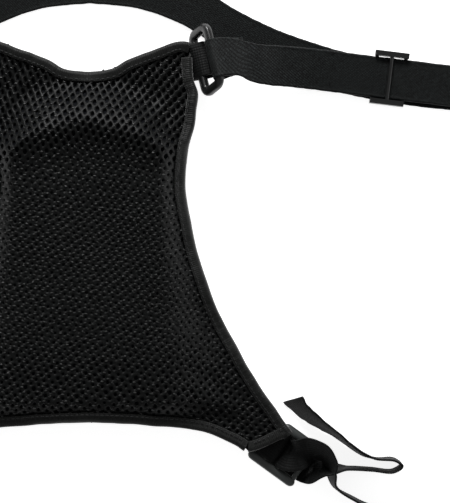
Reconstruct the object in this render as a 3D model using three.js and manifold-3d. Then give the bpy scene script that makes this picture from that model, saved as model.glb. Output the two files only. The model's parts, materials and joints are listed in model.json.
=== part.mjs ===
// Carrying harness with the avalanche transceiver in its pouch, lying on the pouch, body side up.
// Millimetres, +Z up, origin at the centre of the pouch's front face, +Y towards the neck edge.
import * as THREE from 'three';
import { mergeVertices } from 'three/addons/utils/BufferGeometryUtils.js';
import Module from 'manifold-3d';

const wasm = await Module();
wasm.setup();
const { Manifold, Mesh: RawMesh } = wasm;

// ---- driving dimensions -------------------------------------------------------------------
const POUCH = { w: 92, l: 158, h: 31.6, r: 16, skin: 1.5, gap: 0.3 };
const PANEL = { up: 2.4, down: 1.2, sheet: 0.9, seat: 1.6, nu: 20, nv: 26 };
const TAPE = { width: 6.6, skin: 0.9, gap: 1.85, inset: 3.4 };
const STRAP = { elastic: 25, webbing: 20, thick: 1.6, web: 1.3 };
const BAR = 1.7;
const CASE = { w: 76, l: 124, r: 14, wall: 2, z: 2.1, split: 13, top: 27 };
const CELL = { r: 5.25, l: 44.5, pitch: 11 };
const ZIP = { x: 46.3, z: 14, y0: -62, y1: 58 };

const group = new THREE.Group();
group.name = 'avalanche_transceiver_in_harness';

const MAT = {
  mesh: ['#17181a', 0.95, 0], fabric: ['#141517', 0.9, 0], tape: ['#222322', 0.85, 0],
  webbing: ['#1a1b1c', 0.85, 0], elastic: ['#1b1c1d', 0.9, 0], plastic: ['#1c1d1f', 0.35, 0],
  zip: ['#202123', 0.5, 0], case: ['#2b2f33', 0.5, 0], shell: ['#c8471c', 0.5, 0],
  seal: ['#0e0e0f', 0.9, 0], board: ['#1f5a3a', 0.6, 0], glass: ['#5b6a70', 0.1, 0],
  lcd: ['#8a9484', 0.3, 0], ferrite: ['#26282a', 0.7, 0], copper: ['#b5713c', 0.4, 0.9],
  steel: ['#b9bcc0', 0.35, 0.9], cell: ['#8f9296', 0.4, 0.6], knob: ['#d8d9d6', 0.5, 0],
};
const materials = {};
function mat(key) {
  if (!materials[key]) {
    const [color, roughness, metalness] = MAT[key];
    materials[key] = new THREE.MeshStandardMaterial({ color, roughness, metalness });
    materials[key].name = key;
  }
  return materials[key];
}
function add(name, geometry, key) {
  const mesh = new THREE.Mesh(geometry, mat(key));
  mesh.name = name;
  group.add(mesh);
}

// ---- helpers ------------------------------------------------------------------------------
function bare(geometry) {
  const g = geometry.index ? geometry.clone() : geometry.clone();
  for (const key of Object.keys(g.attributes)) if (key !== 'position') g.deleteAttribute(key);
  return mergeVertices(g, 1e-4);
}
function solid(geometry) {
  const g = bare(geometry);
  return new Manifold(new RawMesh({
    numProp: 3, vertProperties: new Float32Array(g.attributes.position.array),
    triVerts: new Uint32Array(g.index.array),
  }));
}
function back(manifold) {
  const m = manifold.getMesh();
  const g = new THREE.BufferGeometry();
  g.setAttribute('position', new THREE.BufferAttribute(new Float32Array(m.vertProperties), 3));
  g.setIndex(new THREE.BufferAttribute(new Uint32Array(m.triVerts), 1));
  g.computeVertexNormals();
  return g;
}
function join(...list) { return back(list.map(solid).reduce((a, b) => a.add(b))); }
function cut(base, ...tools) {
  return back(tools.map(solid).reduce((a, b) => a.subtract(b), solid(base)));
}
function box(x0, x1, y0, y1, z0, z1) {
  const g = new THREE.BoxGeometry(x1 - x0, y1 - y0, z1 - z0);
  return g.translate((x0 + x1) / 2, (y0 + y1) / 2, (z0 + z1) / 2);
}
function round(w, l, r) {
  const s = new THREE.Shape();
  const a = w / 2, b = l / 2;
  s.moveTo(a, -b + r);
  s.lineTo(a, b - r);
  s.absarc(a - r, b - r, r, 0, Math.PI / 2, false);
  s.lineTo(-a + r, b);
  s.absarc(-a + r, b - r, r, Math.PI / 2, Math.PI, false);
  s.lineTo(-a, -b + r);
  s.absarc(-a + r, -b + r, r, Math.PI, Math.PI * 1.5, false);
  s.lineTo(a - r, -b);
  s.absarc(a - r, -b + r, r, Math.PI * 1.5, Math.PI * 2, false);
  return s;
}
function prism(shape, z0, z1, seg = 5) {
  const g = new THREE.ExtrudeGeometry(shape, { depth: z1 - z0, bevelEnabled: false, curveSegments: seg });
  return g.translate(0, 0, z0);
}
function slab(w, l, r, z0, z1, x = 0, y = 0) {
  return prism(round(w, l, r), z0, z1).translate(x, y, 0);
}
function ring(w, l, r, t, z0, z1) {
  return cut(slab(w, l, r, z0, z1), slab(w - 2 * t, l - 2 * t, r - t, z0 - 1, z1 + 1));
}
function rod(r, z0, z1, x = 0, y = 0, n = 18) {
  const g = new THREE.CylinderGeometry(r, r, z1 - z0, n).rotateX(Math.PI / 2);
  return g.translate(x, y, (z0 + z1) / 2);
}
function rodX(r, x0, x1, y, z, n = 18) {
  return new THREE.CylinderGeometry(r, r, x1 - x0, n).rotateZ(-Math.PI / 2).translate((x0 + x1) / 2, y, z);
}
function rodY(r, y0, y1, x, z, n = 24) {
  return new THREE.CylinderGeometry(r, r, y1 - y0, n).translate(x, (y0 + y1) / 2, z);
}
const smooth = (t) => { const k = Math.min(1, Math.max(0, t)); return k * k * (3 - 2 * k); };
function table(rows, t) {
  if (t <= rows[0][0]) return rows[0][1];
  for (let i = 1; i < rows.length; i += 1) {
    const [a, va] = rows[i - 1], [b, vb] = rows[i];
    if (t <= b) return va + (vb - va) * smooth((t - a) / (b - a));
  }
  return rows[rows.length - 1][1];
}
const V = (x, y, z) => new THREE.Vector3(x, y, z);
function curve(points) {
  return new THREE.CatmullRomCurve3(points.map(([x, y]) => V(x, y, 0)), false, 'centripetal');
}

// ---- shape of the back panel --------------------------------------------------------------
const topHalf = [[0, 121.8], [14.5, 123.6], [24, 129], [34, 133], [43.6, 136.4], [53, 140], [59, 140.6], [63.5, 139.6]];
const sideR = [[63.5, 139.6], [64, 128], [65, 117], [67.6, 109], [67.6, 104], [66.6, 98], [65.4, 88], [61.8, 74], [60.4, 62],
  [60, 50], [61.6, 39], [64.2, 25.5], [67.3, 11], [72, -3.6], [77, -18], [83.6, -32.7], [91.5, -47],
  [99.6, -62], [108.6, -76], [115.6, -86], [121.4, -94.6], [126.4, -101]];
const lowHalf = [[0, -93.4], [14.5, -93.8], [29, -94.5], [43.6, -95.8], [58, -97], [72.7, -100], [82.4, -104],
  [91, -108.4], [98.4, -112.2], [126.4, -101]];
const mirror = (rows) => rows.slice(1).reverse().map(([x, y]) => [-x, y]);
const topC = curve([...mirror(topHalf), ...topHalf]);
const lowC = curve([...mirror(lowHalf), ...lowHalf]);
const rightC = curve([...sideR].reverse());
const leftC = curve([...sideR].reverse().map(([x, y]) => [-x, y]));

function patch(u, v) {
  const b = lowC.getPointAt(u), t = topC.getPointAt(u), l = leftC.getPointAt(v), r = rightC.getPointAt(v);
  const b0 = lowC.getPointAt(0), b1 = lowC.getPointAt(1), t0 = topC.getPointAt(0), t1 = topC.getPointAt(1);
  const p = V(0, 0, 0);
  p.addScaledVector(b, 1 - v).addScaledVector(t, v).addScaledVector(l, 1 - u).addScaledVector(r, u);
  p.addScaledVector(b0, -(1 - u) * (1 - v)).addScaledVector(b1, -u * (1 - v));
  return p.addScaledVector(t0, -(1 - u) * v).addScaledVector(t1, -u * v);
}
const spine = [[-94, 28], [-79, 37], [-40, 36.8], [66, 36.6], [88, 39.6], [124, 20], [142, 18]];
const rim = [[-113, 16], [-90, 15.5], [-45, 16], [0, 21], [60, 23], [100, 20], [140, 18]];
const reach = [[-95, 30], [-80, 43.5], [72, 43], [90, 26], [120, 4]];
const width = [[-100, 112], [-60, 98], [-20, 78], [20, 66], [55, 60], [90, 65], [140, 70]];
function lift(x, y) {
  const a = Math.abs(x), r0 = table(reach, y);
  const yy = y + 0.26 * a * smooth((y - 30) / 40);
  return THREE.MathUtils.lerp(table(spine, yy), table(rim, y), smooth((a - r0) / (table(width, y) - r0)));
}
function sheet(up, down) {
  const { nu, nv } = PANEL, pos = [], idx = [], w = nu + 1, n = w * (nv + 1);
  const shrink = TAPE.inset;
  for (const h of [up, down]) {
    for (let j = 0; j <= nv; j += 1) for (let i = 0; i <= nu; i += 1) {
      const p = inset(i / nu, j / nv - 0.06 * Math.sin((2 * Math.PI * j) / nv), shrink);
      pos.push(p.x, p.y, lift(p.x, p.y) + h);
    }
  }
  const quad = (a, b, c, d) => idx.push(a, b, c, a, c, d);
  for (let j = 0; j < nv; j += 1) for (let i = 0; i < nu; i += 1) {
    const k = j * w + i;
    quad(k, k + 1, k + w + 1, k + w);
    quad(n + k, n + k + w, n + k + w + 1, n + k + 1);
  }
  for (let i = 0; i < nu; i += 1) {
    quad(n + i, n + i + 1, i + 1, i);
    const t = nv * w + i;
    quad(t, t + 1, n + t + 1, n + t);
  }
  for (let j = 0; j < nv; j += 1) {
    const l = j * w, r = j * w + nu;
    quad(l, l + w, n + l + w, n + l);
    quad(n + r, n + r + w, r + w, r);
  }
  const g = new THREE.BufferGeometry();
  g.setAttribute('position', new THREE.Float32BufferAttribute(pos, 3));
  g.setIndex(idx);
  g.computeVertexNormals();
  return g;
}
function inset(u, v, d) {
  // the patch pulled in from every edge by d, so that the tape's own skin is outside it
  const du = d / 190, dv = d / 240;
  return patch(du + u * (1 - 2 * du), dv + v * (1 - 2 * dv));
}
function edgeTape(c, s0, s1, flip, n) {
  // a folded tape: a C of eight corners carried along one edge
  const pos = [], idx = [], g = TAPE.gap, k = TAPE.skin;
  const up = PANEL.up, dn = PANEL.seat + PANEL.sheet;
  const prof = [[TAPE.width, up + g + k], [0.6, up + g + k], [0, up], [0, -dn], [0.6, -dn - g - k],
    [TAPE.width, -dn - g - k], [TAPE.width, -dn - g], [k, -dn - g], [k, up + g], [TAPE.width, up + g]];
  const m = prof.length;
  for (let i = 0; i <= n; i += 1) {
    const t = s0 + ((s1 - s0) * i) / n;
    const p = c.getPointAt(t), d = c.getTangentAt(t);
    const nx = flip * -d.y, ny = flip * d.x;
    for (const [a, b] of prof) {
      const x = p.x + nx * a, y = p.y + ny * a;
      pos.push(x, y, lift(x, y) + b);
    }
  }
  for (let i = 0; i < n; i += 1) for (let j = 0; j < m; j += 1) {
    const a = i * m + j, b = i * m + ((j + 1) % m);
    idx.push(a, b, b + m, a, b + m, a + m);
  }
  const caps = THREE.ShapeUtils.triangulateShape(prof.map(([a, b]) => new THREE.Vector2(a, b)), []);
  const turn = (a, b, e) => (prof[b][0] - prof[a][0]) * (prof[e][1] - prof[a][1])
    - (prof[b][1] - prof[a][1]) * (prof[e][0] - prof[a][0]);
  for (const [a, b0, e0] of caps) {
    const [b, e] = turn(a, b0, e0) > 0 ? [b0, e0] : [e0, b0];
    idx.push(a, e, b, n * m + a, n * m + b, n * m + e);
  }
  const out = new THREE.BufferGeometry();
  out.setAttribute('position', new THREE.Float32BufferAttribute(pos, 3));
  out.setIndex(idx);
  return outward(out);
}
function volume(g) {
  const p = g.attributes.position, ix = g.index.array;
  let v = 0;
  const a = V(), b = V(), c = V();
  for (let i = 0; i < ix.length; i += 3) {
    a.fromBufferAttribute(p, ix[i]); b.fromBufferAttribute(p, ix[i + 1]); c.fromBufferAttribute(p, ix[i + 2]);
    v += a.dot(b.cross(c)) / 6;
  }
  return v;
}
function outward(g) {
  if (volume(g) < 0) {
    const ix = g.index.array;
    for (let i = 0; i < ix.length; i += 3) [ix[i + 1], ix[i + 2]] = [ix[i + 2], ix[i + 1]];
  }
  g.computeVertexNormals();
  return g;
}
function strap(rows, width, thick, n) {
  // rows: [x, y, z, side x, side y, side z]; a flat band through the points, its width along side
  const line = new THREE.CatmullRomCurve3(rows.map((r) => V(r[0], r[1], r[2])), false, 'centripetal');
  const last = rows.length - 1, pos = [], idx = [];
  for (let i = 0; i <= n; i += 1) {
    const t = i / n, f = Math.min(t * last, last - 1e-9), k = Math.floor(f), e = f - k;
    const p = line.getPoint(t), d = line.getTangent(t);
    const s = V(...rows[k].slice(3)).multiplyScalar(1 - smooth(e));
    s.addScaledVector(V(...rows[k + 1].slice(3)), smooth(e));
    s.addScaledVector(d, -s.dot(d)).normalize();
    const up = V().crossVectors(d, s).normalize();
    const drop = (Math.abs(s.z) * width + Math.abs(up.z) * thick) / 2;
    p.z = Math.max(p.z, drop + 0.15);
    for (const [a, b] of [[1, 1], [-1, 1], [-1, -1], [1, -1]]) {
      const q = p.clone().addScaledVector(s, (a * width) / 2).addScaledVector(up, (b * thick) / 2);
      pos.push(q.x, q.y, q.z);
    }
  }
  for (let i = 0; i < n; i += 1) for (let j = 0; j < 4; j += 1) {
    const a = i * 4 + j, b = i * 4 + ((j + 1) % 4);
    idx.push(a, b, b + 4, a, b + 4, a + 4);
  }
  const e = n * 4;
  idx.push(0, 2, 1, 0, 3, 2, e, e + 1, e + 2, e, e + 2, e + 3);
  const g = new THREE.BufferGeometry();
  g.setAttribute('position', new THREE.Float32BufferAttribute(pos, 3));
  g.setIndex(idx);
  return outward(g);
}
// ---- harness ------------------------------------------------------------------------------
function panel() {
  add('back_panel', sheet(PANEL.up, -PANEL.down), 'mesh');
  add('backing_fabric', sheet(-PANEL.seat, -PANEL.seat - PANEL.sheet), 'fabric');
  add('binding_top', edgeTape(topC, 0.052, 0.948, -1, 36), 'tape');
  add('binding_bottom', edgeTape(lowC, 0.125, 0.875, 1, 36), 'tape');
  add('binding_right', edgeTape(rightC, 0.045, 0.862, 1, 34), 'tape');
  add('binding_left', edgeTape(leftC, 0.045, 0.862, -1, 34), 'tape');
}
function pouch() {
  const { w, l, h, r, skin, gap } = POUCH;
  add('pouch_front', slab(w, l, r, 0, skin), 'fabric');
  const wall = ring(w, l, r, skin, skin + gap, h);
  add('pouch_gusset', cut(wall, box(w / 2 - 4, w / 2 + 4, ZIP.y0 + 4, ZIP.y1 - 4, ZIP.z - 1.6, ZIP.z + 1.6)), 'fabric');
}
function zip() {
  const { x, z, y0, y1 } = ZIP;
  add('zip_tape_upper', box(x, x + 0.8, y0, y1, z + 1.2, z + 7.5), 'fabric');
  add('zip_tape_lower', box(x, x + 0.8, y0, y1, z - 7.5, z - 1.2), 'fabric');
  const s = new THREE.Shape();
  s.moveTo(x, y0 + 1);
  const count = 36, pitch = (y1 - y0 - 2) / count;
  for (let i = 0; i < count; i += 1) {
    const y = y0 + 1 + i * pitch;
    s.lineTo(x + 1.9, y);
    s.lineTo(x + 1.9, y + pitch * 0.55);
    s.lineTo(x + 1.3, y + pitch * 0.6);
    s.lineTo(x + 1.3, y + pitch);
  }
  s.lineTo(x, y1 - 1);
  add('zip_teeth', prism(s, z - 0.9, z + 0.9), 'zip');
  const c = 48;
  const plate = box(x + 2.3, x + 3.7, c - 5.5, c + 5.5, z - 4, z + 4);
  const post = (y) => box(x + 3.5, x + 7.4, y - 0.6, y + 0.6, z - 1.2, z + 1.2);
  add('zip_slider', join(plate, post(c - 3), post(c + 3), rodY(0.8, c - 3.2, c + 3.2, x + 6.3, z, 16)), 'zip');
  const loop = cut(rodY(2.2, c - 1.9, c + 1.9, x + 6.3, z, 20), rodY(1.15, c - 3, c + 3, x + 6.3, z, 16));
  const tongue = box(x + 5.7, x + 6.9, c - 1.9, c + 1.9, z - 11.6, z - 1.7);
  add('zip_pull', join(loop, tongue), 'zip');
}

// a plastic ring: local X along its arms, local Y along its bars, first bar at the origin
function ringLink(inner, span, bars, ears) {
  const parts = [];
  const half = inner / 2 + BAR;
  for (const x of bars) parts.push(rodY(BAR, -half, half, x, 0, 20));
  ears.forEach((ear, k) => {
    const y = (2 * k - 1) * half;
    parts.push(slab(span - ear + 2 * BAR, 2 * BAR + 0.5, BAR, -BAR - 0.3, BAR + 0.3, (span + ear) / 2, y));
  });
  return join(...parts);
}
const RING = { at: V(68.6, 126.3, 13.6), arm: V(0.508, 0.356, 0.785), bar: V(-0.238, 0.933, -0.269), span: 17.2 };
const LOCK = { at: V(115.4, -108.9, 8), arm: V(0.809, -0.588, 0), bar: V(0.588, 0.809, 0), span: 21 };
function place(g, f, flip = false) {
  const z = V().crossVectors(f.arm, f.bar).normalize();
  const y = V().crossVectors(z, f.arm).normalize();
  g.applyMatrix4(new THREE.Matrix4().makeBasis(f.arm.clone().normalize(), y, z).setPosition(f.at));
  return flip ? flipX(g) : g;
}
function flipX(g) {
  const out = bare(g);
  out.applyMatrix4(new THREE.Matrix4().makeScale(-1, 1, 1));
  return outward(out);
}
function tab(f, dir, w, len, sign, along = 0) {
  // webbing from under the panel round the first bar and back over the panel
  const r = BAR + 0.8 + STRAP.web / 2, d = dir.clone().normalize();
  const y = f.bar.clone().normalize(), up = V().crossVectors(d, y).normalize();
  const flat = V().crossVectors(V(0, 0, 1), d).normalize(), rows = [];
  const put = (a, b) => {
    const q = f.at.clone().addScaledVector(d, a).addScaledVector(y, along);
    rows.push([q.x, q.y, f.at.z + b, flat.x, flat.y, 0]);
  };
  const wrap = (a, b) => {
    const q = f.at.clone().addScaledVector(d, a).addScaledVector(up, b).addScaledVector(y, along);
    rows.push([q.x, q.y, q.z, y.x, y.y, y.z]);
  };
  const over = (a) => {
    const q = f.at.clone().addScaledVector(d, a);
    return lift(q.x, q.y) - f.at.z;
  };
  const hi = -(PANEL.seat + PANEL.sheet + 0.7 + STRAP.web / 2 + TAPE.gap + TAPE.skin + 2.5), lo = hi - 2.2;
  for (const a of [len, len * 0.75, len * 0.5]) put(-a, over(-a) + lo);
  wrap(-3.2, -r * 0.96);
  for (let k = 0; k <= 6; k += 1) {
    const th = -Math.PI / 2 + (Math.PI * k) / 6;
    wrap(r * Math.cos(th), r * Math.sin(th));
  }
  wrap(-3.2, r * 0.9);
  for (const a of [len * 0.5, len * 0.75, len]) put(-a, over(-a) + hi);
  const g = strap(rows, w, STRAP.web, 56);
  return sign < 0 ? flipX(g) : g;
}
function hardware() {
  const link = () => ringLink(34.6, RING.span, [0, RING.span], [0, 0]);
  add('upper_right_ring', place(link(), RING), 'plastic');
  add('upper_left_ring', place(link(), RING, true), 'plastic');
  const lock = ringLink(21.5, LOCK.span, [0, 9.5, LOCK.span], [-9, 0]);
  add('lower_right_ladder_lock', place(lock, LOCK), 'plastic');
  const t = V(1, 0.2, 0);
  add('upper_right_tab', tab(RING, t, 22, 15, 1, 2.6), 'webbing');
  add('upper_left_tab', tab(RING, t, 22, 15, -1, 2.6), 'webbing');
  add('lower_right_tab', tab(LOCK, LOCK.arm, 19, 17, 1), 'webbing');
}
function shoulder() {
  // elastic, right half: sewn-back end, round the ring's far bar, out, curled under, back to the neck
  const far = RING.at.clone().addScaledVector(RING.arm, RING.span);
  const side = RING.bar.clone().normalize(), out = V(0.92, 0.055, -0.377).normalize();
  const up = V().crossVectors(out, side).normalize(), r = BAR + 0.7 + STRAP.thick / 2;
  const half = [];
  const put = (x, y, z, s = side) => half.push([x, y, z, s.x, s.y, s.z]);
  const wrap = (a, b) => {
    const q = far.clone().addScaledVector(out, a).addScaledVector(up, b).addScaledVector(side, -4);
    put(q.x, q.y, q.z);
  };
  wrap(28, -r + 0.3);
  wrap(12, -r + 0.1);
  for (let k = 0; k <= 6; k += 1) {
    const th = -Math.PI / 2 - (Math.PI * k) / 6;
    wrap(r * Math.cos(th), r * Math.sin(th));
  }
  wrap(12, r);
  put(104, 127, 17.6, V(-0.02, 0.99, -0.1));
  put(126, 125.2, 13, V(0.06, 0.99, -0.03));
  put(145.1, 123.4, 9.8, V(0.1, 0.99, 0));
  put(163, 121.2, 8.6, V(0.12, 0.99, 0));
  put(186, 118.4, 8.4, V(0.12, 0.99, 0));
  put(214, 113.6, 7.4, V(0.14, 0.98, 0));
  put(238, 110.6, 7, V(0.18, 0.98, 0));
  put(242.4, 110.2, 4.1, V(0.2, 0.97, 0));
  put(238, 111, 1.2, V(0.22, 0.96, 0));
  put(200, 114.8, 1.2, V(0.2, 0.97, 0));
  put(161.5, 121.8, 1.2, V(0.26, 0.96, 0));
  put(138.7, 128, 1.2, V(0.3, 0.95, 0));
  put(110.8, 138, 1.2, V(0.36, 0.93, 0));
  put(86, 150, 1.2, V(0.46, 0.88, 0));
  put(62, 164.5, 1.2, V(0.44, 0.9, 0));
  put(32, 175, 1.2, V(0.22, 0.97, 0));
  put(0, 178.5, 1.2, V(0, 1, 0));
  const other = half.slice(0, -1).reverse().map(([x, y, z, a, b, c]) => [-x, y, z, -a, b, c]);
  add('shoulder_strap', strap([...half, ...other], STRAP.elastic, STRAP.thick, 210), 'elastic');
  const c = V(186, 118.4, 8.4), u = V(0.9925, -0.122, 0), v = V(0.122, 0.9925, 0);
  const frame = { at: c.clone().addScaledVector(u, -9), arm: u, bar: v };
  const k = 13.2 + BAR;
  const bars = [rodY(1.2, -k, k, 0, -2.4, 16), rodY(1.2, -k, k, 9, 2.4, 16), rodY(1.2, -k, k, 18, -2.4, 16)];
  const arms = [-1, 1].map((s) => box(-1.5, 19.5, s * k - 1.6, s * k + 1.6, -3.75, 3.75));
  add('strap_slider', place(join(...bars, ...arms), frame), 'plastic');
}

// ---- waist --------------------------------------------------------------------------------
const BUCKLE = { y: -196, z: 6.2 };
function waist() {
  const d = V(0.809, -0.588, 0), s = LOCK.bar, r = BAR + 1.1 + STRAP.web / 2;
  const zm = LOCK.at.z;
  const rows = [];
  const at = (a, b, z, side = s) => rows.push([LOCK.at.x + d.x * a + s.x * b, LOCK.at.y + d.y * a + s.y * b, z,
    side.x, side.y, side.z]);
  const put = (x, y, z, sx, sy, sz) => rows.push([x, y, z, sx, sy, sz]);
  const y = BUCKLE.y, flat = BUCKLE.z;
  put(62, y, flat + 3.3, 0, 1, 0);
  put(49, y, flat + 3.2, 0, 1, 0);
  for (const [a, b] of [[-2.4, 1.7], [-3.2, 0], [-2.4, -1.7]]) put(46 + a, y, flat + b, 0, 1, 0);
  put(49, y, flat - 3.2, 0, 1, 0);
  put(70, y, flat - 3.6, 0, 1, 0);
  put(110, y - 1, 2.2, 0, 1, 0.25);
  put(140, y - 2, 6, -0.05, 0.75, 0.66);
  put(168, y + 2, 10.2, -0.1, 0.15, 0.98);
  put(186, y + 15, 10.4, 0, 0, 1);
  put(191, -165, 10.4, 0, 0, 1);
  put(184, -152, 10.4, 0, 0, 1);
  put(166, -143, 10.4, 0, 0, 1);
  put(151, -134, 10.6, 0.1, 0, 1);
  put(147.6, -123.5, 12, 0.3, 0, 0.95);
  put(145.2, -116.8, 17, 0.3, 0.15, 0.94);
  put(140, -113.2, 20.4, 0.26, 0.45, 0.85);
  put(133.4, -112.8, 19.2, 0.36, 0.62, 0.7);
  put(127.4, -113.8, 15.2, 0.5, 0.78, 0.36);
  for (let k = 0; k <= 6; k += 1) {
    const th = Math.PI * (0.5 + k / 6);
    at(9.4 + r * Math.cos(th), 0, zm + r * Math.sin(th));
  }
  at(14, 0, zm - r - 0.3);
  at(21, 0, zm - r - 0.8);
  at(27, 0.6, zm - r - 0.4, V(0.5, 0.75, -0.45));
  put(150, -123.8, 8.6, 0.05, 0.25, -0.96);
  put(161, -122.9, 10.3, 0, 0, -1);
  put(175, -123.6, 10.3, 0, 0, -1);
  put(188, -124.6, 10.3, 0, 0, -1);
  put(193.4, -121, 10.3, 0, 0, -1);
  put(189, -117.6, 10.3, 0, 0, -1);
  put(178, -117, 10.3, 0, -0.05, -1);
  put(170, -114.4, 10.2, -0.05, -0.1, -0.99);
  put(160.5, -107.5, 10.1, -0.1, -0.14, -0.98);
  put(153.2, -101.4, 10, -0.13, -0.17, -0.975);
  put(145.2, -96.5, 10, -0.14, -0.2, -0.97);
  put(138, -91.6, 9.8, -0.2, -0.26, -0.94);
  put(131.8, -86.8, 9.4, -0.3, -0.34, -0.89);
  put(126.2, -80.4, 8.9, -0.38, -0.42, -0.82);
  add('waist_webbing_right', strap(rows, STRAP.webbing, STRAP.web, 230), 'webbing');

  // left run: sewn under the panel's corner, out, round and to the socket's bar
  const L = [];
  const lput = (x, yy, z, sx, sy, sz) => L.push([x, yy, z, sx, sy, sz]);
  lput(-101, -97, 8.9, -0.588, 0.809, 0);
  lput(-112, -105, 9, -0.588, 0.809, 0);
  lput(-128, -117, 8.6, -0.56, 0.8, 0.1);
  lput(-148, -130, 9, -0.3, 0.4, 0.85);
  lput(-174, -146, 10.3, 0, 0, 1);
  lput(-190, -163, 10.3, 0, 0, 1);
  lput(-186, -183, 10.3, 0, 0, 1);
  lput(-168, y + 2, 10.2, 0, 0.15, 0.98);
  lput(-140, y - 1, 6, 0, 0.75, 0.66);
  lput(-110, y, 2.2, 0, 1, 0.2);
  lput(-70, y, flat - 3.6, 0, 1, 0);
  lput(-37, y, flat - 3.2, 0, 1, 0);
  for (const [a, b] of [[2.4, -1.7], [3.2, 0], [2.4, 1.7]]) lput(-34 + a, y, flat + b, 0, 1, 0);
  lput(-37, y, flat + 3.2, 0, 1, 0);
  lput(-54, y, flat + 3.3, 0, 1, 0);
  add('waist_webbing_left', strap(L, STRAP.webbing, STRAP.web, 100), 'webbing');
  buckle();
}
function buckle() {
  const { y, z } = BUCKLE;
  // socket: a flat sleeve open towards +X, with side windows and a bar for the webbing
  const body = slab(42, 30, 7, z - 5.5, z + 5.5, -5, y);
  const mouth = box(-18, 30, y - 11.6, y + 11.6, z - 3.1, z + 3.1);
  const windows = [-1, 1].map((s) => box(-14, 4, y + s * 15 - 4.5, y + s * 15 + 4.5, z - 3.1, z + 3.1));
  const eye = box(-31.2, -23.4, y - 10.8, y + 10.8, z - 8, z + 8);
  const bar = rodY(1.7, y - 13.4, y + 13.4, -34, z, 16);
  const cheeks = [-1, 1].map((s) => box(-35.7, -20, y + s * 13.2 - 1.7, y + s * 13.2 + 1.7, z - 2.4, z + 2.4));
  const shell = cut(body, mouth, ...windows, eye);
  add('waist_buckle_socket', join(shell, bar, ...cheeks), 'plastic');
  // plug: base with a webbing bar, a guide tongue and two spring prongs that catch in the windows
  const base = box(17, 42, y - 14.6, y + 14.6, z - 2.6, z + 2.6);
  const slot = box(26.5, 37.5, y - 10.8, y + 10.8, z - 6, z + 6);
  const bar2 = rodY(1.7, y - 13, y + 13, 46, z, 16);
  const ends = [-1, 1].map((s) => box(34, 47.7, y + s * 13 - 1.6, y + s * 13 + 1.6, z - 2.6, z + 2.6));
  const tongue = box(-6, 18, y - 2.2, y + 2.2, z - 2.4, z + 2.4);
  const prongs = [-1, 1].map((s) => join(box(-13, 18, y + s * 9.4 - 1.6, y + s * 9.4 + 1.6, z - 2.4, z + 2.4),
    box(-13, -4, y + s * 11.4 - 2.2, y + s * 11.4 + 2.2, z - 2.4, z + 2.4)));
  const clear = box(37, 44.6, y - 11.2, y + 11.2, z - 6, z + 6);
  add('waist_buckle_plug', join(cut(base, slot, clear), bar2, ...ends, tongue, ...prongs), 'plastic');
}

// ---- transceiver --------------------------------------------------------------------------
const screws = [[31, 52], [-31, 52], [31, -52], [-31, -52]];
function cases() {
  const { w, l, r, wall, z, split, top } = CASE;
  const inner = (z0, z1) => slab(w - 2 * wall, l - 2 * wall, r - wall, z0, z1);
  const door = slab(53, 45, 4, z - 1, z + wall + 1, 0, -35.6);
  const rear = cut(slab(w, l, r, z, z + split - 0.3), inner(z + wall, z + split + 2), door);
  const posts = screws.map(([x, y]) => rod(3.1, z + wall - 0.5, z + split - 0.3, x, y));
  const holes = screws.map(([x, y]) => rod(1.5, z - 1, z + split + 1, x, y));
  const sinks = screws.map(([x, y]) => rod(2.9, z - 1, z + 1.2, x, y));
  add('rear_case', cut(join(rear, ...posts), ...holes, ...sinks), 'case');
  const roof = z + top;
  const front = cut(slab(w, l, r, z + split + 1.1, roof), inner(z + split, roof - wall),
    slab(44, 34, 4, roof - 4, roof + 1, 0, 26), rod(5.3, roof - 4, roof + 1, -16, -6),
    rod(5.3, roof - 4, roof + 1, 16, -6), slab(24, 7, 2, roof - 4, roof + 1, 0, 52),
    ...[-6, -3, 0, 3, 6].map((k) => slab(1.4, 12, 0.6, roof - 4, roof + 1, k, -38)));
  const tops = screws.map(([x, y]) => rod(3.1, z + split + 1.1, roof - wall + 0.5, x, y));
  const taps = screws.map(([x, y]) => rod(1.5, z + split, roof - wall - 2, x, y));
  add('front_case', cut(join(front, ...tops), ...taps), 'shell');
  const s0 = z + split, s1 = z + split + 0.8;
  add('case_seal', cut(slab(w - 0.8, l - 0.8, r - 0.4, s0, s1), slab(w - 3.4, l - 3.4, r - 1.7, s0 - 1, s1 + 1)), 'seal');
  screws.forEach(([x, y], i) => {
    add(`case_screw_${i + 1}`, join(rod(2.5, z + 0.1, z + 1, x, y), rod(1.15, z + 0.8, z + 21, x, y, 16)), 'steel');
  });
}
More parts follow.
